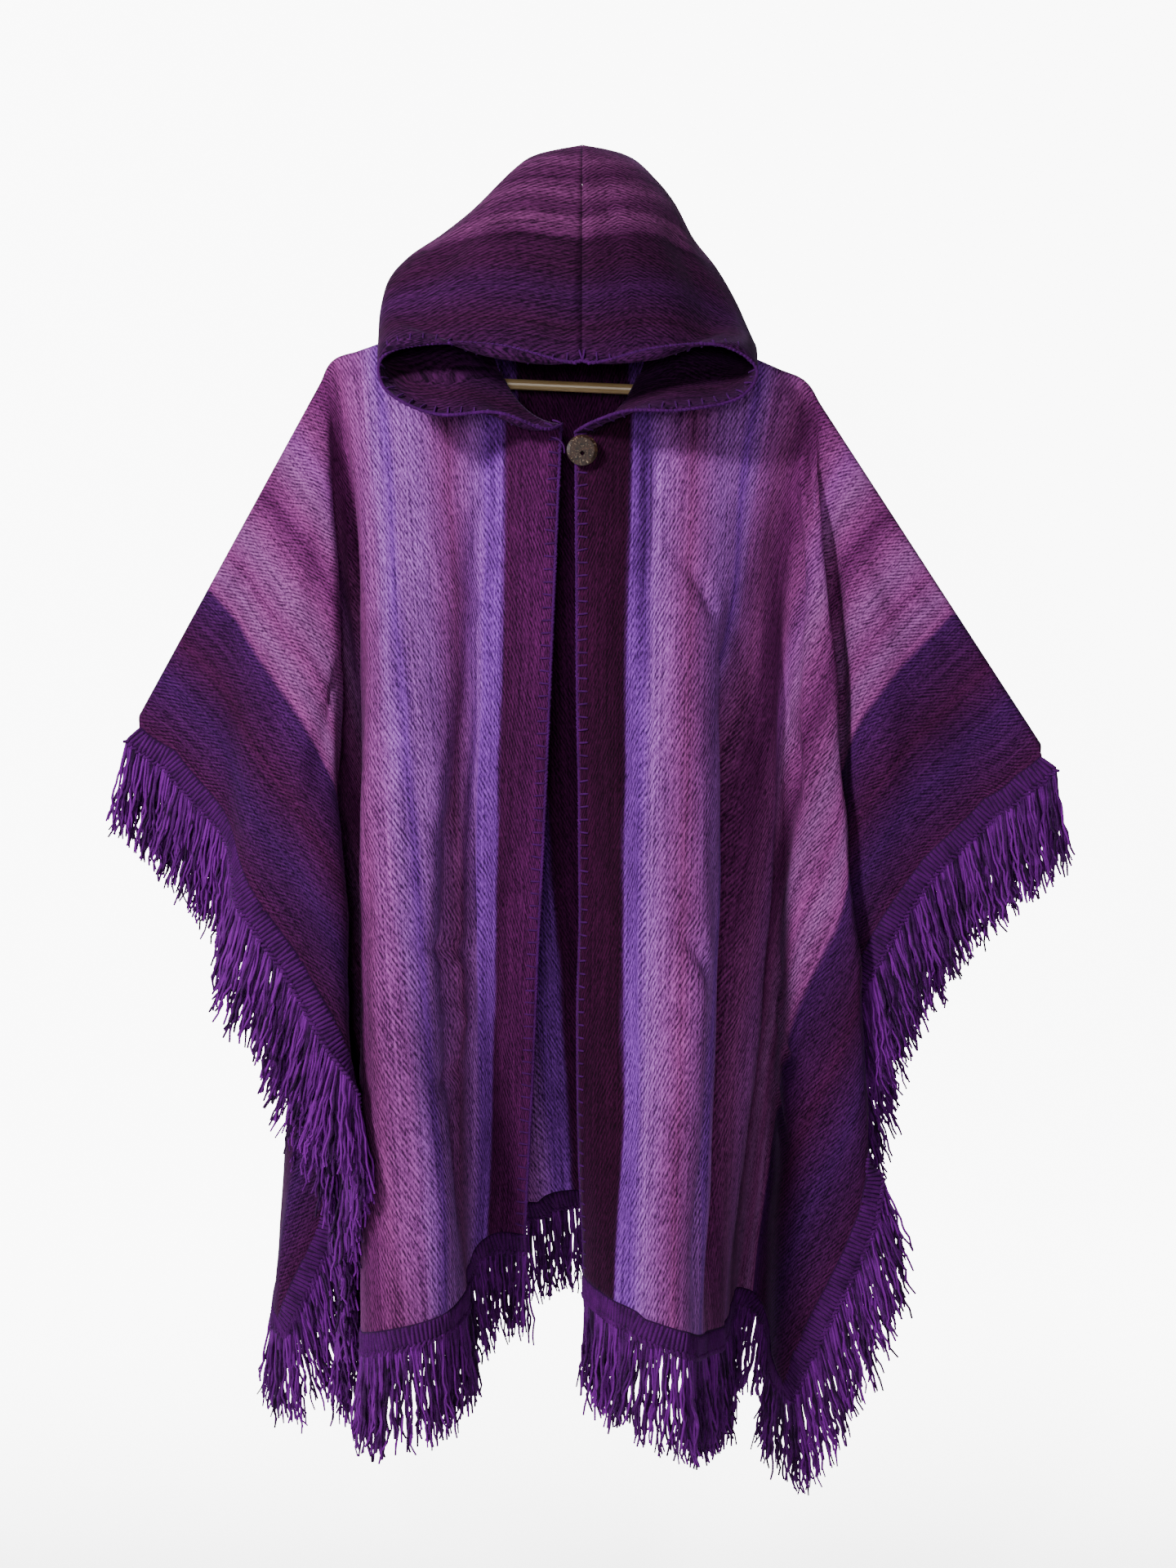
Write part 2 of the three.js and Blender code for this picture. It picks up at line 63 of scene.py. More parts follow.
# ---- The stage: a plain pale floor that sweeps up into a wall, soft studio light and a level
# camera, square to the hanger and about 1.5 m from it.
eye_height = -0.606
eye_side = 0.0184
eye_distance = 1.5
view_height = math.radians(54.2)

camera = bpy.data.objects.new("camera", bpy.data.cameras.new("camera"))
scene.collection.objects.link(camera)
camera.data.sensor_fit = "VERTICAL"
camera.data.angle = view_height
camera.location = (eye_side, -eye_distance, eye_height)
camera.rotation_euler = (math.pi / 2, 0, 0)
scene.camera = camera

floor_level = cad_box[0][2] - 0.22
floor_front = -3.0
sweep_radius = 0.35
sweep_steps = 8
wall_distance = cad_box[1][1] + 0.16
wall_top = 3.0
stage_half_width = 4.0
floor_glow = 1.2
wall_glow = 9.0
room_glow = 0.05


def link_object(name, data):
    thing = bpy.data.objects.new(name, data)
    scene.collection.objects.link(thing)
    return thing


def mesh_from_grid(name, grid, flat=None):
    """A sheet of quads on a grid of points, rows down and columns across. flat is each point's
    place on the cloth as it was cut."""
    rows, columns = grid.shape[:2]
    mesh = bpy.data.meshes.new(name)
    corner = np.arange(rows * columns).reshape(rows, columns)
    quads = np.stack([corner[:-1, :-1], corner[1:, :-1], corner[1:, 1:], corner[:-1, 1:]], -1)
    quads = quads.reshape(-1, 4)
    mesh.from_pydata(grid.reshape(-1, 3).tolist(), [], quads.tolist())
    if flat is not None:
        layer = mesh.uv_layers.new(name="cloth_uv")
        places = flat.reshape(-1, 2)[quads.reshape(-1)]
        layer.data.foreach_set("uv", places.astype(np.float32).ravel())
    mesh.shade_smooth()
    return mesh


def stage_sweep():
    """Floor and wall in one strip, facing the front and the top."""
    profile = [(floor_front, floor_level), (wall_distance - sweep_radius, floor_level)]
    for i in range(1, sweep_steps + 1):
        angle = i / sweep_steps * math.pi / 2
        profile.append((wall_distance - sweep_radius + sweep_radius * math.sin(angle),
                        floor_level + sweep_radius * (1 - math.cos(angle))))
    profile.append((wall_distance, wall_top))
    grid = np.array([[(x, y, z) for x in (stage_half_width, -stage_half_width)]
                     for y, z in profile])
    return link_object("stage_sweep", mesh_from_grid("stage_sweep", grid))


def new_material(name):
    material = bpy.data.materials.new(name)
    material.use_nodes = True
    tree = material.node_tree
    shader = tree.nodes["Principled BSDF"]
    return material, tree, shader


def add_node(tree, kind, **settings):
    """A node with its settings, and values or links given for its inputs."""
    node = tree.nodes.new(kind)
    for name, value in settings.items():
        if name != "inputs":
            setattr(node, name, value)
            continue
        for socket, given in value.items():
            if isinstance(given, bpy.types.NodeSocket):
                tree.links.new(given, node.inputs[socket])
            else:
                node.inputs[socket].default_value = given
    return node


def maths(tree, operation, a, b=0.0, c=0.0):
    node = add_node(tree, "ShaderNodeMath", operation=operation, inputs={0: a, 1: b, 2: c})
    return node.outputs[0]


def remap(tree, value, low, high, to_low, to_high):
    node = add_node(tree, "ShaderNodeMapRange", inputs={
        0: value, 1: low, 2: high, 3: to_low, 4: to_high})
    return node.outputs[0]


def object_place(tree):
    return add_node(tree, "ShaderNodeTexCoord").outputs["Object"]


def linear(red, green, blue):
    """A colour given as 0 to 255 on screen, as the shader needs it."""
    return tuple(c / 255 / 12.92 if c <= 10 else ((c / 255 + 0.055) / 1.055) ** 2.4
                 for c in (red, green, blue)) + (1.0,)


sweep = stage_sweep()
paper, paper_tree, paper_shader = new_material("stage_paper")
paper_shader.inputs["Base Color"].default_value = (0.8, 0.8, 0.8, 1)
paper_shader.inputs["Roughness"].default_value = 0.9
paper_shader.inputs["Emission Color"].default_value = (1, 1, 1, 1)
# The wall glows, but only to the camera, so that it doesn't light the poncho.
paper_depth = add_node(paper_tree, "ShaderNodeSeparateXYZ", inputs={0: object_place(paper_tree)})
paper_glow = remap(paper_tree, paper_depth.outputs[1], wall_distance - sweep_radius,
                   wall_distance, floor_glow, wall_glow)
to_camera = add_node(paper_tree, "ShaderNodeLightPath").outputs["Is Camera Ray"]
paper_tree.links.new(maths(paper_tree, "MULTIPLY", paper_glow, to_camera),
                     paper_shader.inputs["Emission Strength"])
# Seen from behind, the sweep is clear, so that it never hides the poncho.
paper_mix = add_node(paper_tree, "ShaderNodeMixShader", inputs={
    0: add_node(paper_tree, "ShaderNodeNewGeometry").outputs["Backfacing"],
    1: paper_shader.outputs[0],
    2: add_node(paper_tree, "ShaderNodeBsdfTransparent").outputs[0]})
paper_tree.links.new(paper_mix.outputs[0], paper_tree.nodes["Material Output"].inputs["Surface"])
sweep.data.materials.append(paper)
sweep.visible_shadow = False


def soft_light(name, place, aim, size, power):
    """A round lamp, turned to its aim and unseen by the camera."""
    lamp = bpy.data.lights.new(name, "AREA")
    lamp.shape = "DISK"
    lamp.size = size
    lamp.energy = power
    holder = link_object(name, lamp)
    holder.location = place
    holder.visible_camera = False
    toward = np.array(aim) - np.array(place)
    yaw = math.atan2(toward[1], toward[0]) - math.pi / 2
    pitch = math.atan2(toward[2], math.hypot(toward[0], toward[1])) + math.pi / 2
    holder.rotation_euler = (pitch, 0, yaw)


middle = (0.0, 0.05, -0.65)
soft_light("key_light", (-1.15, -1.65, 0.35), middle, 0.4, 50)
soft_light("fill_light", (-0.1, -2.3, -0.6), middle, 0.4, 12)
soft_light("back_light", (0.5, 2.2, 0.1), middle, 0.5, 40)
scene.world = bpy.data.worlds.new("room")
scene.world.use_nodes = True
room_tree = scene.world.node_tree
room_light = room_tree.nodes["Background"]
room_light.inputs["Color"].default_value = (1, 1, 1, 1)
seen = add_node(room_tree, "ShaderNodeLightPath").outputs["Is Camera Ray"]
room_tree.links.new(remap(room_tree, seen, 0.0, 1.0, room_glow, wall_glow),
                    room_light.inputs["Strength"])


# ---- The body: one rectangle of brushed, striped twill, 1.30 m across and 0.945 m from the
# shoulder line to each hem, slit up the middle of the front. It hangs over the arms of the
# hanger, and folds fan out from their tips.
cloth_half_width = 650 * mm
cloth_wall = 2.2 * mm
neck_half = 80 * mm
neck_drop = 145 * mm
neck_drop_back = 20 * mm
neck_forward = 60 * mm
neck_backward = 28 * mm
neck_edge = 7 * mm
neck_front_fall = 124 * mm
neck_back_rise = 10 * mm
shoulder_top = -130 * mm
arm_slope = 0.2
arm_curve = 0.0005 / mm
hanger_tilt = 0.0437
ridge_radius = 9 * mm
tip_across = 240 * mm
arm_share = 0.96
tip_blend = 50 * mm
wing_corner = {-1: np.array((-423, 0, -546)) * mm, 1: np.array((456, -30, -575)) * mm}

# A row for each fold line, in millimetres, from the slit or the middle out to the side.
# Columns: where it leaves the shoulder line; where it ends on the cloth, across and down;
# where that end hangs, x and y; and the share of its length that small buckles leave.
front_left_folds = np.array([
    (0, 0, 945, -44, 40, 1),
    (45, 55, 945, -80, 52, 1),
    (90, 105, 945, -102, 20, 1),
    (120, 150, 945, -98, -30, 1),
    (150, 200, 945, -120, -80, 1),
    (175, 250, 945, -163, -92, 1),
    (205, 300, 945, -194, -62, 1),
    (222, 370, 945, -195, 12, 0.99),
    (232, 490, 945, -178, 122, 0.97),
    (240, 650, 945, -226, 38, 0.92),
    (248, 650, 745, -219, -22, 0.92),
    (262, 650, 560, -203, -76, 0.98),
    (295, 650, 425, -247, -85, 0.98),
    (360, 650, 310, -298, -72, 0.985),
    (475, 650, 180, -332, -22, 0.98),
    (590, 650, 64, -384, -8, 1),
    (640, 650, 18, -418, -9, 1),
])
front_right_folds = np.array([
    (0, 0, 945, 12, -45, 1),
    (45, 55, 945, 38, -105, 1),
    (90, 105, 945, 75, -138, 1),
    (120, 150, 945, 104, -136, 1),
    (150, 195, 945, 122, -104, 1),
    (175, 270, 945, 142, -35, 1),
    (205, 360, 945, 158, 50, 1),
    (222, 450, 945, 178, 122, 0.98),
    (232, 555, 945, 206, 130, 0.97),
    (240, 650, 945, 215, 40, 0.976),
    (248, 650, 700, 294, 0, 0.967),
    (262, 650, 540, 274, 42, 0.94),
    (295, 650, 400, 300, 20, 0.95),
    (360, 650, 270, 350, 8, 0.94),
    (475, 650, 140, 405, -10, 0.95),
    (590, 650, 58, 432, -28, 1),
    (640, 650, 18, 452, -38, 1),
])
back_left_folds = np.array([
    (0, 0, 945, 55, 150, 1),
    (45, 55, 945, 8, 172, 1),
    (90, 110, 945, -44, 190, 1),
    (120, 165, 945, -92, 215, 1),
    (150, 225, 945, -140, 248, 1),
    (175, 290, 945, -192, 262, 0.99),
    (205, 360, 945, -240, 244, 0.98),
    (222, 440, 945, -280, 196, 0.97),
    (232, 550, 945, -306, 112, 0.95),
    (240, 650, 945, -292, 46, 0.935),
    (248, 650, 757, -244, 40, 0.97),
    (262, 650, 590, -238, 18, 0.98),
    (295, 650, 440, -264, 6, 0.97),
    (360, 650, 310, -304, 6, 0.98),
    (475, 650, 180, -336, 10, 0.97),
    (590, 650, 64, -386, 10, 1),
    (640, 650, 18, -418, 9, 1),
])
back_right_folds = np.array([
    (0, 0, 945, 55, 150, 1),
    (45, 55, 945, 104, 165, 1),
    (90, 110, 945, 150, 190, 1),
    (120, 165, 945, 188, 228, 1),
    (150, 225, 945, 228, 262, 0.99),
    (175, 290, 945, 266, 250, 0.98),
    (205, 360, 945, 286, 234, 0.97),
    (222, 440, 945, 290, 204, 0.96),
    (232, 550, 945, 288, 166, 0.95),
    (240, 650, 945, 242, 134, 0.92),
    (248, 650, 757, 264, 98, 0.96),
    (262, 650, 590, 284, 90, 0.97),
    (295, 650, 440, 306, 78, 0.97),
    (360, 650, 290, 354, 50, 0.97),
    (475, 650, 150, 404, 18, 0.97),
    (590, 650, 58, 432, -12, 1),
    (640, 650, 18, 452, -21, 1),
])


def unit(vectors):
    return vectors / np.maximum(np.linalg.norm(vectors, axis=-1, keepdims=True), 1e-12)


def straight(column, k):
    return np.interp(k, np.arange(len(column)), column)


def rounded(column, k):
    """Catmull-Rom through a column of numbers or points."""
    column = np.asarray(column, float)
    i = np.clip(np.floor(k).astype(int), 0, len(column) - 2)
    at = lambda n: column[np.clip(n, 0, len(column) - 1)]
    t = (k - i).reshape(k.shape + (1,) * (column.ndim - 1))
    a, b, c, d = at(i - 1), at(i), at(i + 1), at(i + 2)
    return 0.5 * (2 * b + (c - a) * t + (2 * a - 5 * b + 4 * c - d) * t**2
                  + (3 * b - a - 3 * c + d) * t**3)


def arm_height(x):
    return shoulder_top - arm_slope * np.abs(x) - arm_curve * x * x - hanger_tilt * x


def smooth_step(t):
    t = np.clip(t, 0, 1)
    return t * t * (3 - 2 * t)


def ridge(hand, across):
    """The shoulder line: along the arm, then down the wing to its corner."""
    across = np.asarray(across, float)
    x = hand * across * arm_share
    on_arm = np.stack([x, 0 * x, arm_height(x)], -1)
    tip_x = hand * tip_across * arm_share
    tip = np.array((tip_x, 0, arm_height(tip_x)))
    along = (across - tip_across) / (cloth_half_width - tip_across)
    on_wing = tip + (wing_corner[hand] - tip) * along[..., None]
    share = smooth_step((across - tip_across) / tip_blend + 0.5)[..., None]
    return on_arm + (on_wing - on_arm) * share


def neck(hand, face, angle):
    """The neck seam, from its front or back middle round to the shoulder at a right angle."""
    angle = np.asarray(angle, float)
    shoulder = ridge(hand, neck_half)
    edge = hand * (neck_edge if face < 0 else 0)
    x = edge + (shoulder[0] - edge) * np.sin(angle)
    y = np.cos(angle) * (-neck_forward if face < 0 else neck_backward)
    z = shoulder[2] + np.cos(angle) * (-neck_front_fall if face < 0 else neck_back_rise)
    return np.stack([x, y, z], -1)


def cloth_grid(hand, face, folds, k, turns, falls):
    """Points of one panel, and their places on the flat cloth. hand is -1 on the viewer's
    left, and face is -1 in front. The rows first turn over the arm, then fall to the hem."""
    across = straight(folds[:, 0], k) * mm
    on_neck = across < neck_half
    angle = np.arcsin(np.clip(across / neck_half, 0, 1))
    opened = np.where(on_neck, np.cos(angle) * (neck_drop if face < 0 else neck_drop_back), 0)
    top = np.where(on_neck[:, None], neck(hand, face, angle), ridge(hand, across))
    radius = ridge_radius * (1 / 6 + 5 / 6 * np.clip(k - 1, 0, 1))
    to = straight(folds[:, 1], k) * mm
    down = straight(folds[:, 2], k) * mm
    arc = radius * math.pi / 2
    length = straight(folds[:, 5], k) * np.hypot(to - across, down - opened) - arc
    end_x = rounded(folds[:, 3], k) * mm
    end_y = rounded(folds[:, 4], k) * mm
    points, flat = [], []
    whole = length + arc
    for turn, fall in [(t, 0) for t in turns] + [(1, f) for f in falls]:
        bent = turn * math.pi / 2
        below = top.copy()
        below[:, 1] += face * radius * np.sin(bent)
        below[:, 2] += radius * (np.cos(bent) - 1)
        sideways = (end_x - below[:, 0])**2 + (end_y - below[:, 1])**2
        drop = np.sqrt(np.maximum(length**2 - sideways, 1e-6))
        end = np.stack([end_x, end_y, below[:, 2] - drop], -1)
        points.append(below + (end - below) * fall)
        share = (turn * arc + fall * length) / whole
        flat.append(np.stack([across + (to - across) * share,
                              opened + (down - opened) * share], -1))
    return np.array(points), np.array(flat)


# Creases pressed or hung into the cloth, in millimetres on the flat cloth: across and down at
# both ends, half width, and depth, which is negative for a ridge.
front_left_creases = [
    (106, 300, 122, 990, 18, 13),
    (174, 200, 190, 990, 30, -15),
    (52, 300, 60, 990, 20, -7),
    (226, 80, 330, 940, 17, 20),
    (276, 60, 470, 460, 22, -8),
    (320, 20, 600, 330, 20, 7),
    (100, 190, 190, 160, 11, 4.7),
    (160, 250, 60, 300, 14, -4.0),
    (90, 640, 215, 600, 10, 7.1),
    (105, 700, 190, 672, 8, -4.3),
    (110, 735, 200, 742, 9, 6.5),
    (120, 480, 180, 520, 12, 3.7),
    (10, 590, 55, 610, 8, 3.4),
    (230, 60, 420, 330, 19, 6.2),
    (235, 80, 330, 420, 15, 7.0),
    (250, 40, 520, 210, 22, -7.0),
    (300, 30, 560, 90, 17, 4.7),
    (215, 420, 240, 800, 13, 5.0),
    (70, 300, 80, 900, 12, 4.3),
    (180, 330, 190, 880, 10, -3.7),
    (380, 250, 560, 330, 15, 5.3),
]
front_right_creases = [
    (184, 210, 236, 990, 26, 46),
    (96, 140, 108, 990, 34, -13),
    (240, 150, 330, 930, 24, -12),
    (40, 230, 32, 990, 20, 10),
    (272, 30, 585, 500, 24, 26),
    (330, 20, 620, 330, 24, -8),
    (150, 560, 156, 990, 12, 7),
    (95, 220, 175, 290, 10, 6.5),
    (170, 300, 215, 330, 8, 5.3),
    (100, 570, 175, 640, 10, 7.4),
    (80, 620, 130, 655, 8, 5.3),
    (85, 655, 150, 690, 8, -4.7),
    (95, 700, 160, 668, 7, 5.6),
    (110, 730, 125, 790, 8, 4.7),
    (255, 45, 320, 150, 8, 7.1),
    (275, 60, 330, 175, 8, -5.6),
    (265, 110, 350, 260, 10, 5.9),
    (470, 620, 590, 700, 9, 8.4),
    (470, 690, 560, 730, 8, 6.8),
    (440, 590, 480, 640, 8, -5.6),
    (520, 560, 560, 690, 7, 5.0),
    (420, 560, 450, 620, 7, 4.7),
    (300, 300, 520, 520, 20, 7.1),
    (235, 60, 430, 560, 14, 6.2),
    (60, 250, 75, 880, 12, -4.0),
    (150, 420, 160, 900, 11, 4.3),
    (330, 60, 560, 120, 19, 5.3),
]
back_left_creases = [
    (60, 120, 150, 300, 15, 5.6),
    (40, 380, 60, 880, 17, 4.7),
    (140, 240, 190, 860, 15, -5.6),
    (235, 60, 380, 520, 15, 6.8),
    (230, 120, 300, 560, 12, 5.9),
    (180, 560, 300, 620, 12, 4.7),
    (90, 700, 200, 660, 10, 5.0),
    (300, 40, 540, 160, 19, 5.9),
    (420, 500, 560, 640, 14, 6.5),
    (120, 40, 200, 120, 12, 4.7),
]
back_right_creases = [
    (20, 160, 110, 330, 15, 5.3),
    (110, 300, 120, 900, 17, -5.0),
    (235, 70, 360, 600, 15, 6.8),
    (200, 160, 240, 640, 12, 5.6),
    (100, 620, 230, 560, 12, 4.7),
    (60, 760, 180, 800, 10, 4.3),
    (310, 50, 550, 150, 19, 5.6),
    (400, 460, 560, 600, 14, 6.2),
    (150, 50, 215, 150, 11, 4.7),
]

# Each crease fades out over a share of its length at both ends, and bows by a share of it.
crease_taper = 0.35
crease_bow = 0.06

# Slow waves that keep any stretch from being dead flat: pitch across, pitch down, height.
ripples = [(210, 900, 2.6), (118, 520, 1.7), (67, 300, 0.9), (39, 190, 0.35)]


def crease_depth(flat, creases):
    s, t = flat[..., 0] / mm, flat[..., 1] / mm
    depth = np.zeros(s.shape)
    for s1, t1, s2, t2, width, deep in creases:
        run = np.array((s2 - s1, t2 - t1), float)
        length = np.hypot(*run)
        run /= length
        along = (s - s1) * run[0] + (t - t1) * run[1]
        bow = crease_bow * length * np.sin(np.pi * np.clip(along / length, 0, 1))
        off = (s - s1) * run[1] - (t - t1) * run[0] - bow
        taper = crease_taper * length
        fade = smooth_step(along / taper) * smooth_step((length - along) / taper)
        depth += deep * fade * np.exp(-(off / width) ** 2)
    return depth


def ripple_height(flat, turn):
    s, t = flat[..., 0] / mm, flat[..., 1] / mm
    rise = np.zeros(s.shape)
    for i, (pitch, fall, high) in enumerate(ripples):
        slant = 0.25 * math.sin(1.7 * i + turn)
        phase = 2 * math.pi * ((s + slant * t) / pitch) + 2.1 * i + turn
        rise += high * np.sin(phase) * np.cos(2 * math.pi * t / fall + 1.3 * i + 0.7 * turn)
    return rise * smooth_step((t - 25) / 260)


def grid_normals(grid):
    return unit(np.cross(np.gradient(grid, axis=0), np.gradient(grid, axis=1)))


steps_per_fold = 6
turn_rows = 6
fall_rows = 112
k_line = np.arange((len(front_left_folds) - 1) * steps_per_fold + 1) / steps_per_fold
turns = np.arange(turn_rows) / turn_rows
falls = np.linspace(0, 1, fall_rows) ** 0.94

panels = {}
for name, hand, face, folds, creases in [
        ("front_left", -1, -1, front_left_folds, front_left_creases),
        ("front_right", 1, -1, front_right_folds, front_right_creases),
        ("back_left", -1, 1, back_left_folds, back_left_creases),
        ("back_right", 1, 1, back_right_folds, back_right_creases)]:
    grid, flat = cloth_grid(hand, face, folds, k_line, turns, falls)
    normal = grid_normals(grid)
    normal *= np.sign(normal[30, 20, 1] * face)
    rise = ripple_height(flat, hand + 2.3 * face) - crease_depth(flat, creases)
    # The middle of the back is shared by both sides, so both leave it as it is.
    if face > 0:
        rise *= smooth_step(flat[..., 0] / (30 * mm))
    grid = grid + normal * (rise * mm * smooth_step(flat[..., 1] / (60 * mm)))[..., None]
    flat = flat * np.array((hand, -face))
    panels[name] = {"grid": grid, "flat": flat, "normal": normal, "flipped": hand * face > 0}

cloth_mesh = bmesh.new()
cloth_mesh.loops.layers.uv.new("cloth_uv")
for name, panel in panels.items():
    piece = mesh_from_grid(name, panel["grid"], panel["flat"])
    if panel["flipped"]:
        piece.flip_normals()
    cloth_mesh.from_mesh(piece)
    bpy.data.meshes.remove(piece)
bmesh.ops.remove_doubles(cloth_mesh, verts=cloth_mesh.verts, dist=0.05 * mm)
bmesh.ops.recalc_face_normals(cloth_mesh, faces=cloth_mesh.faces)
body_mesh = bpy.data.meshes.new("poncho_body")
cloth_mesh.to_mesh(body_mesh)
cloth_mesh.free()
body_mesh.shade_smooth()
body = link_object("poncho_body", body_mesh)


def evaluated_mesh(thing):
    """The object's modifiers made real and taken off."""
    graph = bpy.context.evaluated_depsgraph_get()
    made = bpy.data.meshes.new_from_object(thing.evaluated_get(graph))
    thing.modifiers.clear()
    thing.data = made
    return thing


def give_wall(thing, thickness):
    wall = thing.modifiers.new("wall", "SOLIDIFY")
    wall.thickness = thickness
    wall.offset = 0
    return evaluated_mesh(thing)


give_wall(body, cloth_wall)

# Stripes of the warp, from the slit or the middle out to the side edge: where each colour
# stands, in millimetres, and the colour. The last 150 mm is the plain dark band.
plum = (50, 10, 50)
placket = (60, 12, 62)
violet = (94, 44, 136)
lilac = (116, 64, 144)
heather = (104, 56, 112)
mauve = (108, 52, 120)
rose = (98, 42, 98)
wine = (74, 24, 74)
band = (46, 12, 64)
stripes = [
    (0, placket), (58, plum), (63, violet), (82, violet), (94, lilac), (116, mauve), (130, rose),
    (144, mauve), (166, lilac), (186, lilac), (194, violet), (206, lilac), (216, mauve),
    (240, rose), (262, wine), (284, wine), (306, rose), (330, mauve), (352, heather), (372, rose),
    (392, wine), (412, rose), (436, heather), (462, rose), (482, heather), (499, rose),
    (504, band), (560, plum), (600, band), (650, plum),
]


def noise(tree, vector, scale, detail=2.0, rough=0.5):
    node = add_node(tree, "ShaderNodeTexNoise", inputs={
        "Vector": vector, "Scale": scale, "Detail": detail, "Roughness": rough})
    return node.outputs["Fac"]


def blend_colour(tree, kind, share, first, second):
    node = add_node(tree, "ShaderNodeMix", data_type="RGBA", blend_type=kind,
                    inputs={0: share, 6: first, 7: second})
    return node.outputs[2]


def add_bump(tree, shader, strength, distance, height, invert=False):
    node = add_node(tree, "ShaderNodeBump", invert=invert, inputs={
        "Strength": strength, "Distance": distance, "Height": height})
    tree.links.new(node.outputs[0], shader.inputs["Normal"])


twill_pitch = 3.4 * mm
twill_lean = 0.45


def twill_material(name, stripes, reach, right_edge_shade):
    """Brushed twill: warp stripes out to their reach, slanting ribs and a hairy nap. The
    last warp place in stripes is at the reach. The last argument sets how much painted
    shade darkens the band along the right front's edge."""
    material, tree, shader = new_material(name)
    place = add_node(tree, "ShaderNodeUVMap", uv_map="cloth_uv").outputs[0]
    split = add_node(tree, "ShaderNodeSeparateXYZ", inputs={0: place})
    across = maths(tree, "ABSOLUTE", split.outputs[0])
    down = maths(tree, "ABSOLUTE", split.outputs[1])
    leaning = maths(tree, "MULTIPLY_ADD", down, twill_lean, across)

    def stretched(x, x_scale, y, y_scale, seed):
        return add_node(tree, "ShaderNodeCombineXYZ", inputs={
            0: maths(tree, "MULTIPLY", x, x_scale),
            1: maths(tree, "MULTIPLY", y, y_scale), 2: seed}).outputs[0]

    wander = noise(tree, stretched(across, 40, down, 9, 1.0), 1.0, 3.0, 0.6)
    place_across = maths(tree, "MULTIPLY_ADD", maths(tree, "SUBTRACT", wander, 0.5), 0.012, across)
    ramp = tree.nodes.new("ShaderNodeValToRGB")
    tree.links.new(maths(tree, "DIVIDE", place_across, reach), ramp.inputs[0])
    elements = ramp.color_ramp.elements
    for element, (_, colour) in zip(elements, (stripes[0], stripes[-1])):
        element.color = linear(*colour)
    for where, colour in stripes[1:-1]:
        elements.new(where * mm / reach).color = linear(*colour)
    colour = ramp.outputs[0]

    threads = noise(tree, stretched(across, 520, down, 7, 2.0), 1.0, 2.0, 0.55)
    long_hair = noise(tree, stretched(leaning, 620, down, 44, 3.0), 1.0, 3.0, 0.6)
    short_hair = noise(tree, stretched(leaning, 1500, down, 160, 4.0), 1.0, 2.0, 0.6)
    flecks = noise(tree, stretched(across, 900, down, 210, 6.0), 1.0, 2.0, 0.6)
    melange = maths(tree, "MULTIPLY_ADD", long_hair, 0.3, maths(tree, "MULTIPLY", short_hair, 0.2))
    melange = maths(tree, "MULTIPLY_ADD", threads, 0.25, melange)
    melange = maths(tree, "MULTIPLY_ADD", flecks, 0.4, melange)
    rib_place = maths(tree, "MULTIPLY_ADD", short_hair, 0.0016, leaning)
    ribs = maths(tree, "SINE", maths(tree, "MULTIPLY", rib_place, 2 * math.pi / twill_pitch))
    melange = maths(tree, "MULTIPLY_ADD", ribs, 0.045, melange)
    colour = blend_colour(tree, "MULTIPLY", 1.0, colour,
                          blend_colour(tree, "MIX", remap(tree, melange, 0.49, 0.7, 0, 1),
                                       (0.34, 0.26, 0.34, 1), (3.2, 3.5, 2.7, 1)))
    cloudy = noise(tree, stretched(across, 9, down, 5, 5.0), 1.0, 3.0, 0.6)
    colour = blend_colour(tree, "MULTIPLY", 1.0, colour,
                          blend_colour(tree, "MIX", remap(tree, cloudy, 0.3, 0.7, 0, 1),
                                       (0.78, 0.74, 0.78, 1), (1.2, 1.18, 1.22, 1)))
    # Painted shade: the band along the right front's edge is darkened to a deeper wine than the one
    # beside it, standing in for shade that falls there.
    on_right = remap(tree, split.outputs[0], 0.002, 0.004, 0, 1)
    on_right = maths(tree, "MULTIPLY", on_right, remap(tree, split.outputs[1], 0.0, 0.002, 0, 1))
    shaded_edge_band = maths(tree, "MULTIPLY", on_right, remap(tree, across, 0.06, 0.063, 1, 0))
    colour = blend_colour(tree, "MULTIPLY", maths(tree, "MULTIPLY", shaded_edge_band, right_edge_shade), colour,
                          (0.45, 0.3, 0.36, 1))
    tree.links.new(colour, shader.inputs["Base Color"])

    height = maths(tree, "MULTIPLY_ADD", ribs, 0.16, maths(tree, "MULTIPLY", short_hair, 0.9))
    height = maths(tree, "MULTIPLY_ADD", long_hair, 0.7, height)
    add_bump(tree, shader, 0.4, 0.7 * mm, height)
    shader.inputs["Roughness"].default_value = 0.88
    shader.inputs["Specular IOR Level"].default_value = 0.1
    shader.inputs["Sheen Weight"].default_value = 0.1
    shader.inputs["Sheen Roughness"].default_value = 0.4
    shader.inputs["Sheen Tint"].default_value = (0.62, 0.36, 0.8, 1)
    return material


twill = twill_material("striped_twill", stripes, cloth_half_width, 1.0)
body.data.materials.clear()
body.data.materials.append(twill)
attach(body, "root")
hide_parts("front_left", "front_right", "back")


# ---- The hood: two halves of the same twill, seamed over the head and sewn to the neck. It
# hangs from the hook, and its rim droops in two lobes. The stripes run along the rim.
hood_seam = 13 * mm
hood_seam_rows = 7
hood_steps = 26
hood_rows_per_section = 6
hood_rise = 12
hood_lift = 2.6 * mm
hood_seam_gap = 0.1 * mm
hood_ripple = 2.2 * mm
seam_depth = 1.6 * mm
seam_draw_width = 0.022

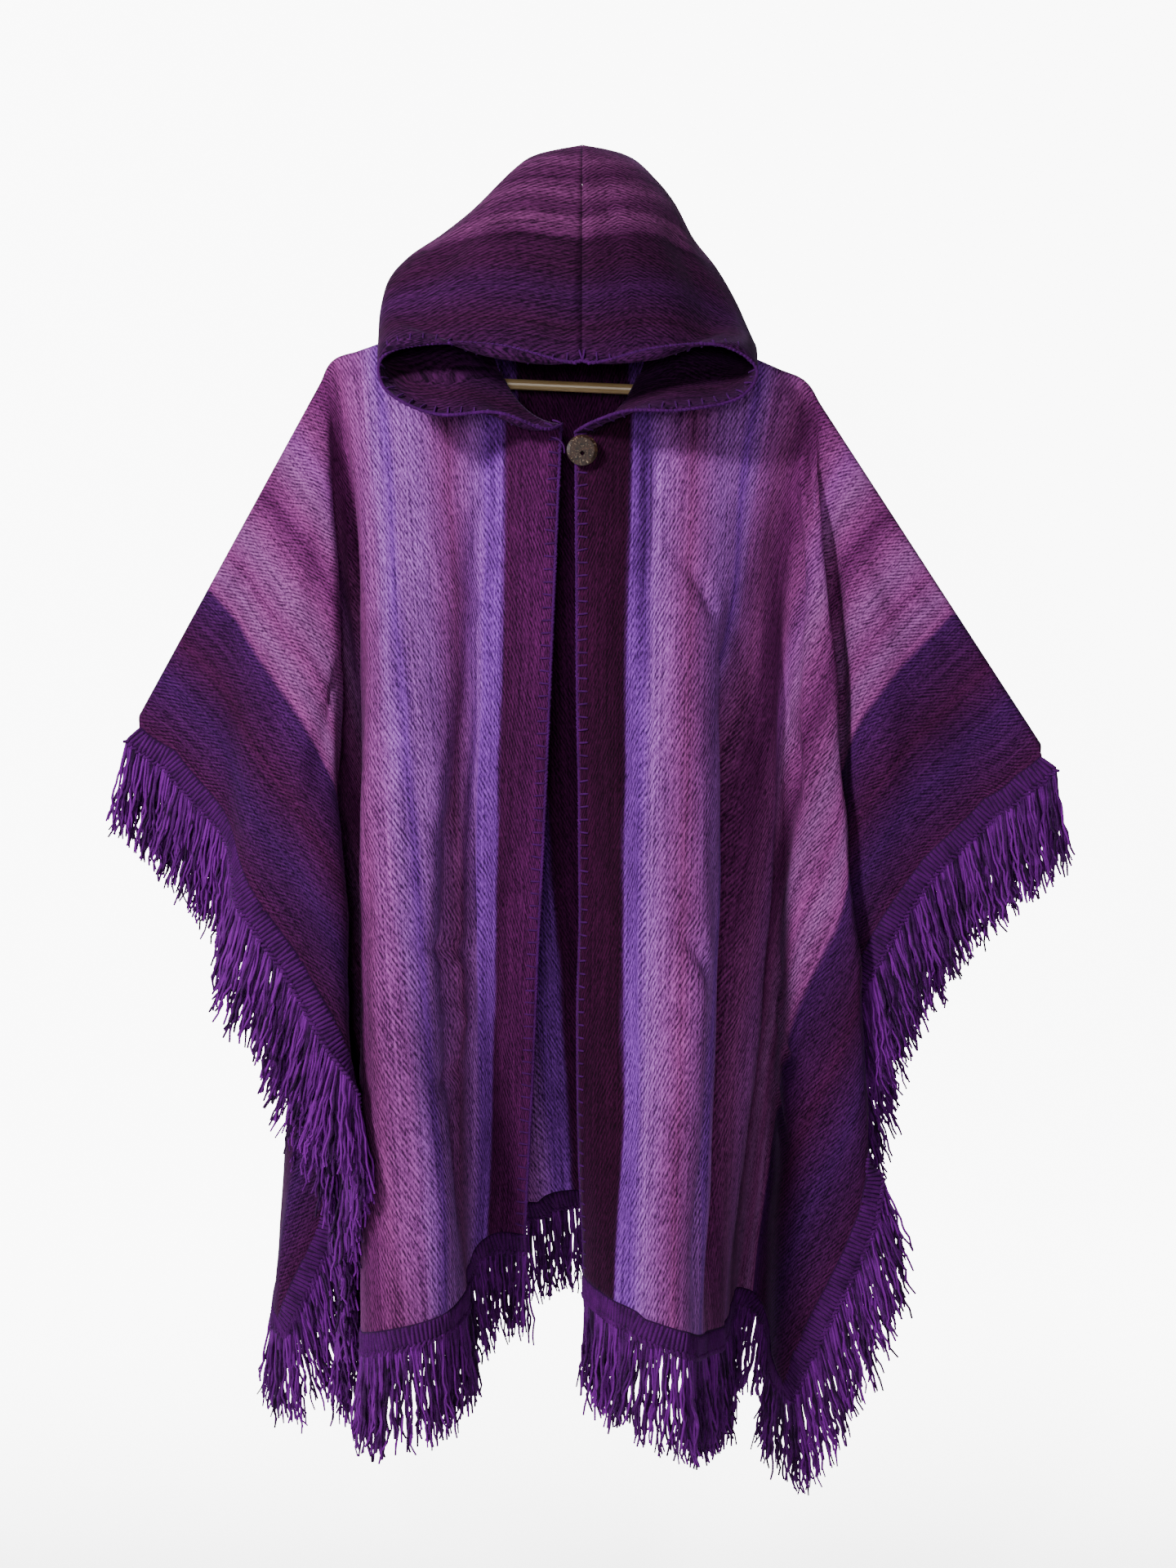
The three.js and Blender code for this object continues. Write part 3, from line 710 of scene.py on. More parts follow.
# Sections in millimetres, crown to neck: front end, side fold and back end.
hood_left_sections = np.array([
    (13, -24, 9, 13, -6, 12, 13, 12, 9),
    (13, -40, -2, -30, -8, 5, 13, 22, -2),
    (13, -58, -24, -56, -10, -12, 12, 30, -20),
    (13, -78, -72, -91, -14, -46, 11, 38, -52),
    (13, -92, -115, -125, -18, -75, 10, 42, -80),
    (13, -103, -165, -153, -22, -99, 9, 42, -100),
    (13, -110, -222, -172, -26, -122, 8, 40, -113),
    (-60, -108, -208, -180, -28, -148, 7, 38, -121),
    (-130, -98, -203, -182, -28, -168, 6, 36, -126),
    (-172, -80, -210, -180, -30, -182, 5, 34, -129),
    (-168, -84, -242, -170, -28, -190, 4, 33, -131),
    (-122, -92, -266, -148, -24, -184, 3, 32, -132),
    (-66, -90, -264, -118, -20, -163, 2, 31, -133),
    (-24, -78, -276, -96, -10, -143, 1, 30, -134),
]) * mm
hood_right_sections = np.array([
    (13, -24, 9, 13, -6, 12, 13, 12, 9),
    (13, -40, -2, 54, -8, 5, 13, 22, -2),
    (13, -58, -24, 80, -10, -14, 12, 30, -20),
    (13, -78, -72, 104, -14, -42, 11, 38, -52),
    (13, -92, -115, 122, -18, -78, 10, 42, -80),
    (13, -103, -165, 140, -22, -108, 9, 42, -100),
    (13, -110, -222, 155, -26, -136, 8, 40, -113),
    (80, -108, -210, 166, -28, -158, 7, 38, -121),
    (140, -100, -205, 174, -30, -176, 6, 36, -126),
    (174, -84, -222, 178, -32, -190, 5, 34, -129),
    (158, -88, -250, 170, -28, -196, 4, 33, -131),
    (105, -92, -262, 150, -24, -190, 3, 32, -132),
    (55, -88, -262, 120, -20, -168, 2, 31, -133),
    (22, -76, -270, 97, -10, -150, 1, 30, -134),
]) * mm

rim_near = 17 * mm

# The stripes of the hood run along its rim: first the dark band, then the others in turn.
hood_stripe_reach = 325 * mm
hood_plum = (42, 8, 42)
hood_band = (44, 10, 54)
hood_wine = (58, 18, 58)
hood_rose = (80, 34, 78)
hood_stripes = [
    (0, hood_band), (30, hood_plum), (62, hood_band), (90, hood_plum), (117, hood_plum),
    (121, hood_wine), (134, hood_rose), (150, hood_wine), (172, hood_rose), (186, hood_wine),
    (206, hood_rose), (226, hood_wine), (246, hood_rose), (270, hood_wine), (296, hood_rose),
    (325, hood_wine),
]
hood_twill = twill_material("hood_twill", hood_stripes, hood_stripe_reach, 0.0)


def hood_section_points(section):
    """Points of one section, front end first."""
    front_angle = np.linspace(0, math.pi / 2, hood_steps + 1)
    back_angle = front_angle[::-1][1:]
    front, side, back = section[0:3], section[3:6], section[6:9]
    s, c = np.sin(front_angle), np.cos(front_angle)
    ahead = np.stack([front[0] + (side[0] - front[0]) * s, side[1] + (front[1] - side[1]) * c,
                      side[2] + (front[2] - side[2]) * c], -1)
    s, c = np.sin(back_angle), np.cos(back_angle)
    behind = np.stack([back[0] + (side[0] - back[0]) * s, side[1] + (back[1] - side[1]) * c,
                       side[2] + (back[2] - side[2]) * (1 - s**hood_rise)], -1)
    return np.concatenate([ahead, behind])


def hood_neck_points(hand):
    angle = np.linspace(0, math.pi / 2, hood_steps + 1)
    front = neck(hand, -1, angle)
    front[:, 1] -= hood_lift * np.cos(angle)
    front[:, 2] += hood_lift * np.sin(angle)
    back = neck(hand, 1, angle[::-1][1:])
    back[:, 2] += hood_lift
    return np.concatenate([front, back])


# Dents and ridges of the hood: section and place along it at both ends, half width as a
# share of the hood, and depth in millimetres.
hood_dents = [
    (1.5, 0.10, 5.5, 0.06, 0.05, 2.6),
    (3.0, 0.30, 6.5, 0.36, 0.06, 4.0),
    (2.0, 0.62, 7.0, 0.60, 0.07, 3.6),
    (4.5, 0.20, 7.5, 0.22, 0.05, -2.6),
    (6.0, 0.80, 11.0, 0.70, 0.06, 3.2),
    (1.0, 0.45, 5.0, 0.47, 0.05, 2.6),
]


def hood_half(name, hand, sections):
    lines = np.array([hood_section_points(row) for row in sections] + [hood_neck_points(hand)])
    count = len(lines)
    k = np.arange((count - 1) * hood_rows_per_section + 1) / hood_rows_per_section
    grid = rounded(lines, k)
    share = np.linspace(0, 1, grid.shape[1])
    # On the centre seam the two halves meet, and the seam draws the cloth in a little.
    on_seam = k < hood_seam_rows - 1 + 1e-6
    grid[on_seam, 0, 0] = hood_seam + hand * hood_seam_gap
    grid[0, :, 0] = hood_seam + hand * hood_seam_gap
    grid[:, -1, 0] += hand * hood_seam_gap
    rim_start = (hood_seam_rows - 1) * hood_rows_per_section
    rim = grid[rim_start:, 0]
    to_rim = np.linalg.norm(grid[:, :, None] - rim[None, None], axis=-1).min(axis=-1)
    flat = np.stack([to_rim, grid[..., 0] + 0.6 * grid[..., 1]], -1)
    normal = grid_normals(grid)
    if normal[12, 10, 1] > 0:
        normal = -normal
    rise = np.zeros(grid.shape[:2])
    for k1, p1, k2, p2, width, deep in hood_dents:
        fraction = np.clip((k[:, None] - k1) / (k2 - k1), 0, 1)
        centre = p1 + (p2 - p1) * fraction
        fade = smooth_step((k[:, None] - k1) / 1.2) * smooth_step((k2 - k[:, None]) / 1.2)
        rise -= deep * mm * fade * np.exp(-((share[None, :] - centre) / width) ** 2)
    ripple = np.sin(9 * share[None, :] + 0.9 * k[:, None] + hand)
    ripple *= np.sin(0.55 * k[:, None] + 2 * hand)
    pinned = smooth_step(share / 0.05) * smooth_step((1 - share) / 0.05)
    rise += hood_ripple * ripple
    # The seam sinks between the two halves.
    seam_draw = -seam_depth * np.exp(-(share[None, :] / seam_draw_width) ** 2)
    seam_draw = seam_draw * (k[:, None] < hood_seam_rows - 1)
    lowered = smooth_step((count - 1 - k) / 1.0)[:, None] * smooth_step(k / 3.5)[:, None]
    grid = grid + normal * (rise * pinned[None, :] * lowered)[..., None]
    grid = grid + normal * (seam_draw * lowered)[..., None] * np.array((0, 1, 1))
    thing = link_object(name, mesh_from_grid(name, grid, flat))
    # The grid's quads face in or out by hand, so all are turned to face out.
    solid = bmesh.new()
    solid.from_mesh(thing.data)
    bmesh.ops.recalc_face_normals(solid, faces=solid.faces)
    solid.to_mesh(thing.data)
    solid.free()
    give_wall(thing, cloth_wall)
    thing.data.materials.clear()
    thing.data.materials.append(hood_twill)
    rim = grid[rim_start:, 0]
    # Into the cloth from the rim is towards whatever cloth lies within a stitch and a half.
    offset = grid[None] - rim[:, None, None]
    near = np.linalg.norm(offset, axis=-1, keepdims=True) < rim_near
    inward = (offset * near).sum(axis=(1, 2))
    rim_normal = unit(np.cross(np.gradient(rim, axis=0), inward))
    return thing, (rim, inward, rim_normal)


hood_rims = {}
for name, hand, sections in (("hood_half_left", -1, hood_left_sections),
                             ("hood_half_right", 1, hood_right_sections)):
    half, hood_rims[name] = hood_half(name, hand, sections)
    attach(half, "root")
    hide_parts("hood_left" if hand < 0 else "hood_right")


# ---- The yarn that trims every edge: two-ply wool, dyed bright purple, and hairy.
def yarn_material(name, deep, bright, strands=False):
    """Hairy yarn, from deep to bright in patches, and strand by strand where it hangs loose."""
    material, tree, shader = new_material(name)
    place = object_place(tree)
    coarse = noise(tree, place, 60.0, 3.0, 0.6)
    fine = noise(tree, place, 900.0, 2.0, 0.6)
    share = maths(tree, "MULTIPLY_ADD", fine, 0.5, maths(tree, "MULTIPLY", coarse, 0.6))
    if strands:
        tone = add_node(tree, "ShaderNodeAttribute", attribute_name="tone").outputs["Fac"]
        share = maths(tree, "MULTIPLY_ADD", tone, 0.42, maths(tree, "MULTIPLY", share, 0.62))
    colour = blend_colour(tree, "MIX", remap(tree, share, 0.35, 0.75, 0, 1),
                          linear(*deep), linear(*bright))
    tree.links.new(colour, shader.inputs["Base Color"])
    add_bump(tree, shader, 0.6, 0.6 * mm, fine)
    shader.inputs["Roughness"].default_value = 0.85
    shader.inputs["Specular IOR Level"].default_value = 0.2
    shader.inputs["Sheen Weight"].default_value = 0.12
    shader.inputs["Sheen Roughness"].default_value = 0.4
    shader.inputs["Sheen Tint"].default_value = (0.6, 0.3, 0.9, 1)
    return material


header_yarn = yarn_material("header_yarn", (48, 2, 60), (94, 10, 114))
fringe_yarn = yarn_material("fringe_yarn", (34, 2, 44), (124, 20, 152), strands=True)
stitch_yarn = yarn_material("stitch_yarn", (48, 2, 62), (84, 8, 106))


def guide_mesh(name, points, **directions):
    """A line of points, with a direction of each name at every point."""
    mesh = bpy.data.meshes.new(name)
    mesh.from_pydata([tuple(p) for p in points], [(i, i + 1) for i in range(len(points) - 1)], [])
    for label, vectors in directions.items():
        layer = mesh.attributes.new(label, "FLOAT_VECTOR", "POINT")
        layer.data.foreach_set("vector", np.asarray(vectors, np.float32).ravel())
    return link_object(name, mesh)


def edge_frame(grid, normal):
    """The cloth's lower edge: its points, the way out of the cloth, and the way it faces."""
    edge = grid[-1]
    tangent = unit(np.gradient(edge, axis=0))
    out = unit(edge - grid[-6])
    out = unit(out - tangent * (out * tangent).sum(-1, keepdims=True))
    facing = unit(np.cross(tangent, out))
    return edge, out, facing * np.sign((facing * normal[-1]).sum(-1, keepdims=True))


def joined_back(left, right):
    return np.concatenate([left[:, :0:-1], right], axis=1)


edges = {}
for name in ("front_left", "front_right"):
    edges[name] = edge_frame(panels[name]["grid"], panels[name]["normal"])
back_grid = joined_back(panels["back_left"]["grid"], panels["back_right"]["grid"])
back_normal = joined_back(panels["back_left"]["normal"], panels["back_right"]["normal"])
edges["back"] = edge_frame(back_grid, back_normal)


def group_input(tree, name, kind, value):
    socket = tree.interface.new_socket(name=name, in_out="INPUT", socket_type=kind)
    socket.default_value = value
    return socket.identifier


def start_tree(name):
    tree = bpy.data.node_groups.new(name, "GeometryNodeTree")
    tree.interface.new_socket(name="Geometry", in_out="INPUT", socket_type="NodeSocketGeometry")
    tree.interface.new_socket(name="Geometry", in_out="OUTPUT", socket_type="NodeSocketGeometry")
    return tree


def finish_tree(tree, geometry, material):
    painted = add_node(tree, "GeometryNodeSetMaterial", inputs={
        "Geometry": geometry, "Material": material})
    add_node(tree, "NodeGroupOutput", inputs={0: painted.outputs[0]})


def run_tree(guide, tree, sockets, **settings):
    """Sets the tree's inputs on the guide and makes the result its own plain mesh."""
    modifier = guide.modifiers.new(tree.name, "NODES")
    modifier.node_group = tree
    for label, value in settings.items():
        modifier[sockets[label]] = value
    return evaluated_mesh(guide)


def named(tree, kind, label):
    node = add_node(tree, "GeometryNodeInputNamedAttribute", data_type=kind,
                    inputs={"Name": label})
    return node.outputs["Attribute"]


def points_along(tree, given):
    """Points at the given pitch along the guide."""
    line = add_node(tree, "GeometryNodeMeshToCurve", inputs={"Mesh": given["Geometry"]})
    points = add_node(tree, "GeometryNodeCurveToPoints", mode="LENGTH", inputs={
        "Curve": line.outputs[0], "Length": given["Pitch"]})
    return points.outputs["Points"]


def random_value(tree, kind, low, high, seed):
    """A random number or vector for each point."""
    first = {"FLOAT_VECTOR": 0, "FLOAT": 2}[kind]
    node = add_node(tree, "FunctionNodeRandomValue", data_type=kind, inputs={
        first: low, first + 1: high, "Seed": seed})
    return node.outputs[0 if kind == "FLOAT_VECTOR" else 1]


bead_sides = 8
bead_rings = 6


def beads_tree(name, bead, material, pitch, wobble):
    """Sets one bead after another along the guide: X out of the cloth, Z the way it faces."""
    tree = start_tree(name)
    sockets = {"pitch": group_input(tree, "Pitch", "NodeSocketFloat", pitch),
               "wobble": group_input(tree, "Wobble", "NodeSocketFloat", wobble),
               "seed": group_input(tree, "Seed", "NodeSocketInt", 1)}
    given = tree.nodes.new("NodeGroupInput").outputs
    turn = add_node(tree, "FunctionNodeAxesToRotation", primary_axis="Z", secondary_axis="X",
                    inputs={0: named(tree, "FLOAT_VECTOR", "facing"),
                            1: named(tree, "FLOAT_VECTOR", "out")})
    least = maths(tree, "MULTIPLY", given["Wobble"], -1.0)
    tilt = random_value(tree, "FLOAT", least, given["Wobble"], given["Seed"])
    spin = add_node(tree, "ShaderNodeCombineXYZ", inputs={2: tilt})
    to_turn = add_node(tree, "FunctionNodeEulerToRotation", inputs={0: spin.outputs[0]})
    spun = add_node(tree, "FunctionNodeRotateRotation", rotation_space="LOCAL", inputs={
        0: turn.outputs[0], 1: to_turn.outputs[0]})
    shape = add_node(tree, "GeometryNodeObjectInfo", inputs={"Object": bead})
    placed = add_node(tree, "GeometryNodeInstanceOnPoints", inputs={
        "Points": points_along(tree, given), "Instance": shape.outputs["Geometry"],
        "Rotation": spun.outputs[0]})
    real = add_node(tree, "GeometryNodeRealizeInstances", inputs={0: placed.outputs[0]})
    finish_tree(tree, real.outputs[0], material)
    return tree, sockets


def bead(name, length, width, thickness, bow=0.0):
    """A rounded bar of yarn along X, centred on the origin."""
    solid = bmesh.new()
    bmesh.ops.create_uvsphere(solid, u_segments=bead_sides, v_segments=bead_rings, radius=0.5)
    for vertex in solid.verts:
        x, y, z = vertex.co
        full = math.copysign(abs(2 * z) ** 0.75 / 2, z)
        swell = (1 - abs(2 * z) ** 4) ** 0.25 if abs(z) < 0.49 else 0.0
        reach = math.hypot(x, y)
        scale = swell / (2 * reach) if reach > 1e-6 else 0.0
        vertex.co = (full * length, y * scale * width,
                     x * scale * thickness + bow * (1 - 4 * full * full))
    bmesh.ops.recalc_face_normals(solid, faces=solid.faces)
    mesh = bpy.data.meshes.new(name)
    solid.to_mesh(mesh)
    solid.free()
    mesh.shade_smooth()
    return bpy.data.objects.new(name, mesh)


# ---- The header: a crocheted band worked over the cloth's side edges and hems. Close wraps of
# yarn stand side by side across it, and a chain runs along its foot, where the fringe starts.
header_width = 17 * mm
header_core = 2.6 * mm
wrap_pitch = 4.1 * mm
chain_pitch = 5.0 * mm
header_overlap = 3 * mm
wrap_wobble = 0.12
chain_wobble = 0.3

wrap_bead = bead("wrap_bead", header_width + 2 * mm, 3.7 * mm, 5.2 * mm)
chain_bead = bead("chain_bead", 7.0 * mm, 3.2 * mm, 6.4 * mm)
wraps_tree, wraps_in = beads_tree("header_wraps", wrap_bead, header_yarn, wrap_pitch, wrap_wobble)
chain_tree, chain_in = beads_tree("header_chain", chain_bead, header_yarn, chain_pitch,
                                  chain_wobble)

header_core_material = yarn_material("header_core", (30, 0, 40), (58, 6, 72))


def merged(name, things):
    """Several meshes as one piece."""
    solid = bmesh.new()
    materials = []
    for thing in things:
        start = len(solid.faces)
        solid.from_mesh(thing.data)
        solid.faces.ensure_lookup_table()
        for material in thing.data.materials:
            if material not in materials:
                materials.append(material)
        for face in solid.faces[start:]:
            face.material_index = materials.index(thing.data.materials[face.material_index])
        bpy.data.objects.remove(thing)
    mesh = bpy.data.meshes.new(name)
    solid.to_mesh(mesh)
    solid.free()
    for material in materials:
        mesh.materials.append(material)
    return link_object(name, mesh)


def header(name, edge, out, facing):
    """The core strip along one edge, its wraps and its chain, as one piece."""
    steps = (-header_overlap, header_width * 0.33, header_width * 0.66, header_width)
    rows = [edge + out * step for step in steps]
    core = link_object(name + "_core", mesh_from_grid(name, np.array(rows)))
    give_wall(core, header_core)
    core.data.materials.clear()
    core.data.materials.append(header_core_material)
    middle_line = edge + out * (header_width / 2 - header_overlap / 2)
    wraps = guide_mesh(name + "_wraps", middle_line, out=out, facing=facing)
    run_tree(wraps, wraps_tree, wraps_in, pitch=wrap_pitch, wobble=wrap_wobble, seed=3)
    foot = guide_mesh(name + "_chain", edge + out * header_width,
                      out=unit(out + 0.9 * unit(np.gradient(edge, axis=0))), facing=facing)
    run_tree(foot, chain_tree, chain_in, pitch=chain_pitch, wobble=chain_wobble, seed=5)
    return merged(name, [core, wraps, foot])


for name, (edge, out, facing) in edges.items():
    piece = header("header_" + name, edge, out, facing)
    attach(piece, "root")
    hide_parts(name + "_trim")


# ---- The fringe: lengths of two-ply yarn knotted into the header's foot. They hang under
# their own weight, cling together in locks, and no two are quite the same length.
fringe_reach = 92 * mm
fringe_spread = 0.35
strand_radius = 1.3 * mm
strand_points = 12
strand_sides = 4
clump_pitch = 17 * mm
clump_pull = 11 * mm
curl_size = 6 * mm
front_strand_pitch = 1.1 * mm
back_strand_pitch = 1.2 * mm
root_jitter = (1.2 * mm, 1.2 * mm, 1.0 * mm)
strand_lean = (0.1, 0.1, 0.03)
strand_shares = (0.78, 1.06)


def fringe_tree():
    """Strands along the guide that hang, lean together in locks and curl."""
    tree = start_tree("fringe_strands")
    sockets = {
        "pitch": group_input(tree, "Pitch", "NodeSocketFloat", front_strand_pitch),
        "reach": group_input(tree, "Reach", "NodeSocketFloat", fringe_reach),
        "radius": group_input(tree, "Radius", "NodeSocketFloat", strand_radius),
        "clump": group_input(tree, "Clump", "NodeSocketFloat", clump_pull),
        "curl": group_input(tree, "Curl", "NodeSocketFloat", curl_size),
        "seed": group_input(tree, "Seed", "NodeSocketInt", 1),
    }
    given = tree.nodes.new("NodeGroupInput").outputs

    def drawn(kind, low, high, offset):
        return random_value(tree, kind, low, high, maths(tree, "ADD", given["Seed"], offset))

    def vector_maths(operation, a, **inputs):
        given_inputs = {0: a, **{{"b": 1, "scale": 3}[n]: v for n, v in inputs.items()}}
        return add_node(tree, "ShaderNodeVectorMath", operation=operation,
                        inputs=given_inputs).outputs[0]

    def vector_noise(vector, scale, detail):
        node = add_node(tree, "ShaderNodeTexNoise", inputs={
            "Vector": vector, "Scale": scale, "Detail": detail})
        return vector_maths("SUBTRACT", node.outputs["Color"], b=(0.5, 0.5, 0.5))

    def store(geometry, kind, label, value):
        return add_node(tree, "GeometryNodeStoreNamedAttribute", data_type=kind, domain="POINT",
                        inputs={"Geometry": geometry, "Name": label, "Value": value}).outputs[0]

    position = tree.nodes.new("GeometryNodeInputPosition").outputs[0]
    rooted = store(points_along(tree, given), "FLOAT_VECTOR", "root", position)
    rooted = store(rooted, "FLOAT", "tone", drawn("FLOAT", 0.0, 1.0, 17.0))
    jitter = drawn("FLOAT_VECTOR", [-v for v in root_jitter], root_jitter, 11.0)
    rooted = add_node(tree, "GeometryNodeSetPosition", inputs={
        "Geometry": rooted, "Offset": jitter})
    lean = drawn("FLOAT_VECTOR", [-v for v in strand_lean], strand_lean, 12.0)
    aim = vector_maths("ADD", named(tree, "FLOAT_VECTOR", "hang"), b=lean)
    turn = add_node(tree, "FunctionNodeAlignRotationToVector", axis="Z", inputs={"Vector": aim})
    length = maths(tree, "MULTIPLY", drawn("FLOAT", *strand_shares, 13.0), given["Reach"])
    size = add_node(tree, "ShaderNodeCombineXYZ", inputs={0: 1.0, 1: 1.0, 2: length})
    strand = add_node(tree, "GeometryNodeCurvePrimitiveLine", inputs={
        "Start": (0, 0, 0), "End": (0, 0, 1)})
    strand = add_node(tree, "GeometryNodeResampleCurve", mode="COUNT",
                      inputs={"Curve": strand.outputs[0], "Count": strand_points})
    factor = tree.nodes.new("GeometryNodeSplineParameter").outputs["Factor"]
    placed = add_node(tree, "GeometryNodeInstanceOnPoints", inputs={
        "Points": rooted.outputs[0], "Instance": store(strand.outputs[0], "FLOAT", "along", factor),
        "Rotation": turn.outputs[0], "Scale": size.outputs[0]})
    real = add_node(tree, "GeometryNodeRealizeInstances", inputs={0: placed.outputs[0]})
    along = named(tree, "FLOAT", "along")
    root = named(tree, "FLOAT_VECTOR", "root")

    # Locks: strands that start close together lean the same way, most at their ends.
    lock = vector_noise(root, 1.0 / clump_pitch, 1.0)
    lock = vector_maths("MULTIPLY", lock, b=(2.6, 2.6, 0.5))
    lock_share = maths(tree, "MULTIPLY", maths(tree, "POWER", along, 1.7), given["Clump"])
    lock = vector_maths("SCALE", lock, scale=lock_share)
    # Curls: each strand wanders on its own, more towards its end.
    spread_root = vector_maths("SCALE", root, scale=9.0)
    wander = vector_noise(vector_maths("ADD", position, b=spread_root), 55.0, 2.0)
    curl_share = maths(tree, "MULTIPLY", maths(tree, "POWER", along, 0.8), given["Curl"])
    wander = vector_maths("MULTIPLY", wander, b=(3.4, 3.4, 1.4))
    wander = vector_maths("SCALE", wander, scale=curl_share)
    moved = add_node(tree, "GeometryNodeSetPosition", inputs={
        "Geometry": real.outputs[0], "Offset": vector_maths("ADD", lock, b=wander)})
    taper = remap(tree, along, 0.75, 1.0, 1.0, 0.75)
    thick = add_node(tree, "GeometryNodeSetCurveRadius", inputs={
        "Curve": moved.outputs[0], "Radius": taper})
    ring = add_node(tree, "GeometryNodeCurvePrimitiveCircle",
                    inputs={"Resolution": strand_sides, "Radius": given["Radius"]})
    tube = add_node(tree, "GeometryNodeCurveToMesh", inputs={
        "Curve": thick.outputs[0], "Profile Curve": ring.outputs[0], "Scale": taper,
        "Fill Caps": True})
    shade = add_node(tree, "GeometryNodeSetShadeSmooth", inputs={"Geometry": tube.outputs[0]})
    finish_tree(tree, shade.outputs[0], fringe_yarn)
    return tree, sockets


strands_tree, strands_in = fringe_tree()
down_vector = np.array((0, 0, -1.0))
back_middle = len(k_line) - 1
fringe_parts = [
    ("fringe_front_left", "front_left", slice(None), front_strand_pitch, ["front_left_fringe"]),
    ("fringe_front_right", "front_right", slice(None), front_strand_pitch, ["front_right_fringe"]),
    ("fringe_back_left", "back", slice(0, back_middle + 1), back_strand_pitch, ["back_fringe"]),
    ("fringe_back_right", "back", slice(back_middle, None), back_strand_pitch, []),
]
for number, (name, edge_name, part, pitch, nodes) in enumerate(fringe_parts):
    edge, out, facing = (a[part] for a in edges[edge_name])
    hang = unit(fringe_spread * out + down_vector)
    roots = edge + out * (header_width - 1 * mm)
    strands = guide_mesh(name, roots, hang=hang)
    run_tree(strands, strands_tree, strands_in, pitch=pitch, reach=fringe_reach,
             radius=strand_radius, clump=clump_pull, curl=curl_size, seed=20 + number)
    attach(strands, "root")
    if nodes:
        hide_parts(*nodes)


# ---- Blanket stitch: thick yarn worked over both front edges and round the hood's rim, with a
# purl along the very edge and a leg into the cloth every 12 mm.
stitch_pitch = 12 * mm
stitch_depth = 11 * mm
purl_pitch = 4.0 * mm
leg_wobble = 0.16
purl_wobble = 0.2
leg_bead = bead("leg_bead", stitch_depth, 1.9 * mm, 1.9 * mm, 0.5 * mm)
purl_bead = bead("purl_bead", 6.5 * mm, 3.0 * mm, 3.2 * mm)
legs_tree, legs_in = beads_tree("stitch_legs", leg_bead, stitch_yarn, stitch_pitch, leg_wobble)
purls_tree, purls_in = beads_tree("stitch_purls", purl_bead, stitch_yarn, purl_pitch, purl_wobble)


def blanket_stitch(name, edge, inward, facing):
    """Legs on both faces of the cloth and a purl along its edge, as one piece."""
    tangent = unit(np.gradient(edge, axis=0))
    inward = unit(inward - tangent * (inward * tangent).sum(-1, keepdims=True))
    legs = []
    for side in (1, -1):
        raised = edge + inward * (stitch_depth / 2) + facing * side * (cloth_wall / 2 + 0.5 * mm)
        line = guide_mesh(f"{name}_legs", raised, out=inward, facing=facing * side)
        legs.append(run_tree(line, legs_tree, legs_in, pitch=stitch_pitch,
                             wobble=leg_wobble, seed=7))
    purl = guide_mesh(f"{name}_purl", edge, out=unit(tangent + 0.25 * inward), facing=facing)
    run_tree(purl, purls_tree, purls_in, pitch=purl_pitch, wobble=purl_wobble, seed=9)
    return merged(name, [*legs, purl])


stitch_edges = {}
for name in ("front_left", "front_right"):
    grid, normal = panels[name]["grid"], panels[name]["normal"]
    rows = slice(turn_rows, None, 3)
    stitch_edges["stitch_" + name] = (grid[rows, 0], grid[rows, 3] - grid[rows, 0], normal[rows, 0])
for name, rim in hood_rims.items():
    stitch_edges["stitch_rim_" + name.split("_")[-1]] = rim
for name, (edge, inward, facing) in stitch_edges.items():
    piece = blanket_stitch(name, edge, inward, facing)
    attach(piece, "root")


# ---- The hanger: steam-bent hardwood arms, a turned dowel for trousers, both under satin
# varnish, and a hook of bright wire.
def wood_material():
    material, tree, shader = new_material("varnished_wood")
    place = object_place(tree)
    grain_place = add_node(tree, "ShaderNodeMapping", inputs={
        "Vector": place, "Scale": (6.0, 160.0, 160.0)})
    grain = noise(tree, grain_place.outputs[0], 1.0, 4.0, 0.6)
    broad = noise(tree, place, 14.0, 2.0)
    share = maths(tree, "MULTIPLY_ADD", broad, 0.3, maths(tree, "MULTIPLY", grain, 0.8))
    colour = blend_colour(tree, "MIX", remap(tree, share, 0.35, 0.75, 0, 1),
                          linear(176, 134, 84), linear(222, 190, 138))
    tree.links.new(colour, shader.inputs["Base Color"])
    add_bump(tree, shader, 0.2, 0.4 * mm, grain)
    tree.links.new(remap(tree, grain, 0.3, 0.7, 0.34, 0.48), shader.inputs["Roughness"])
    shader.inputs["Coat Weight"].default_value = 0.3
    shader.inputs["Coat Roughness"].default_value = 0.25
    return material


def paint_node(name, material):
    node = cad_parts[name]
    node.data.materials.clear()
    node.data.materials.append(material)


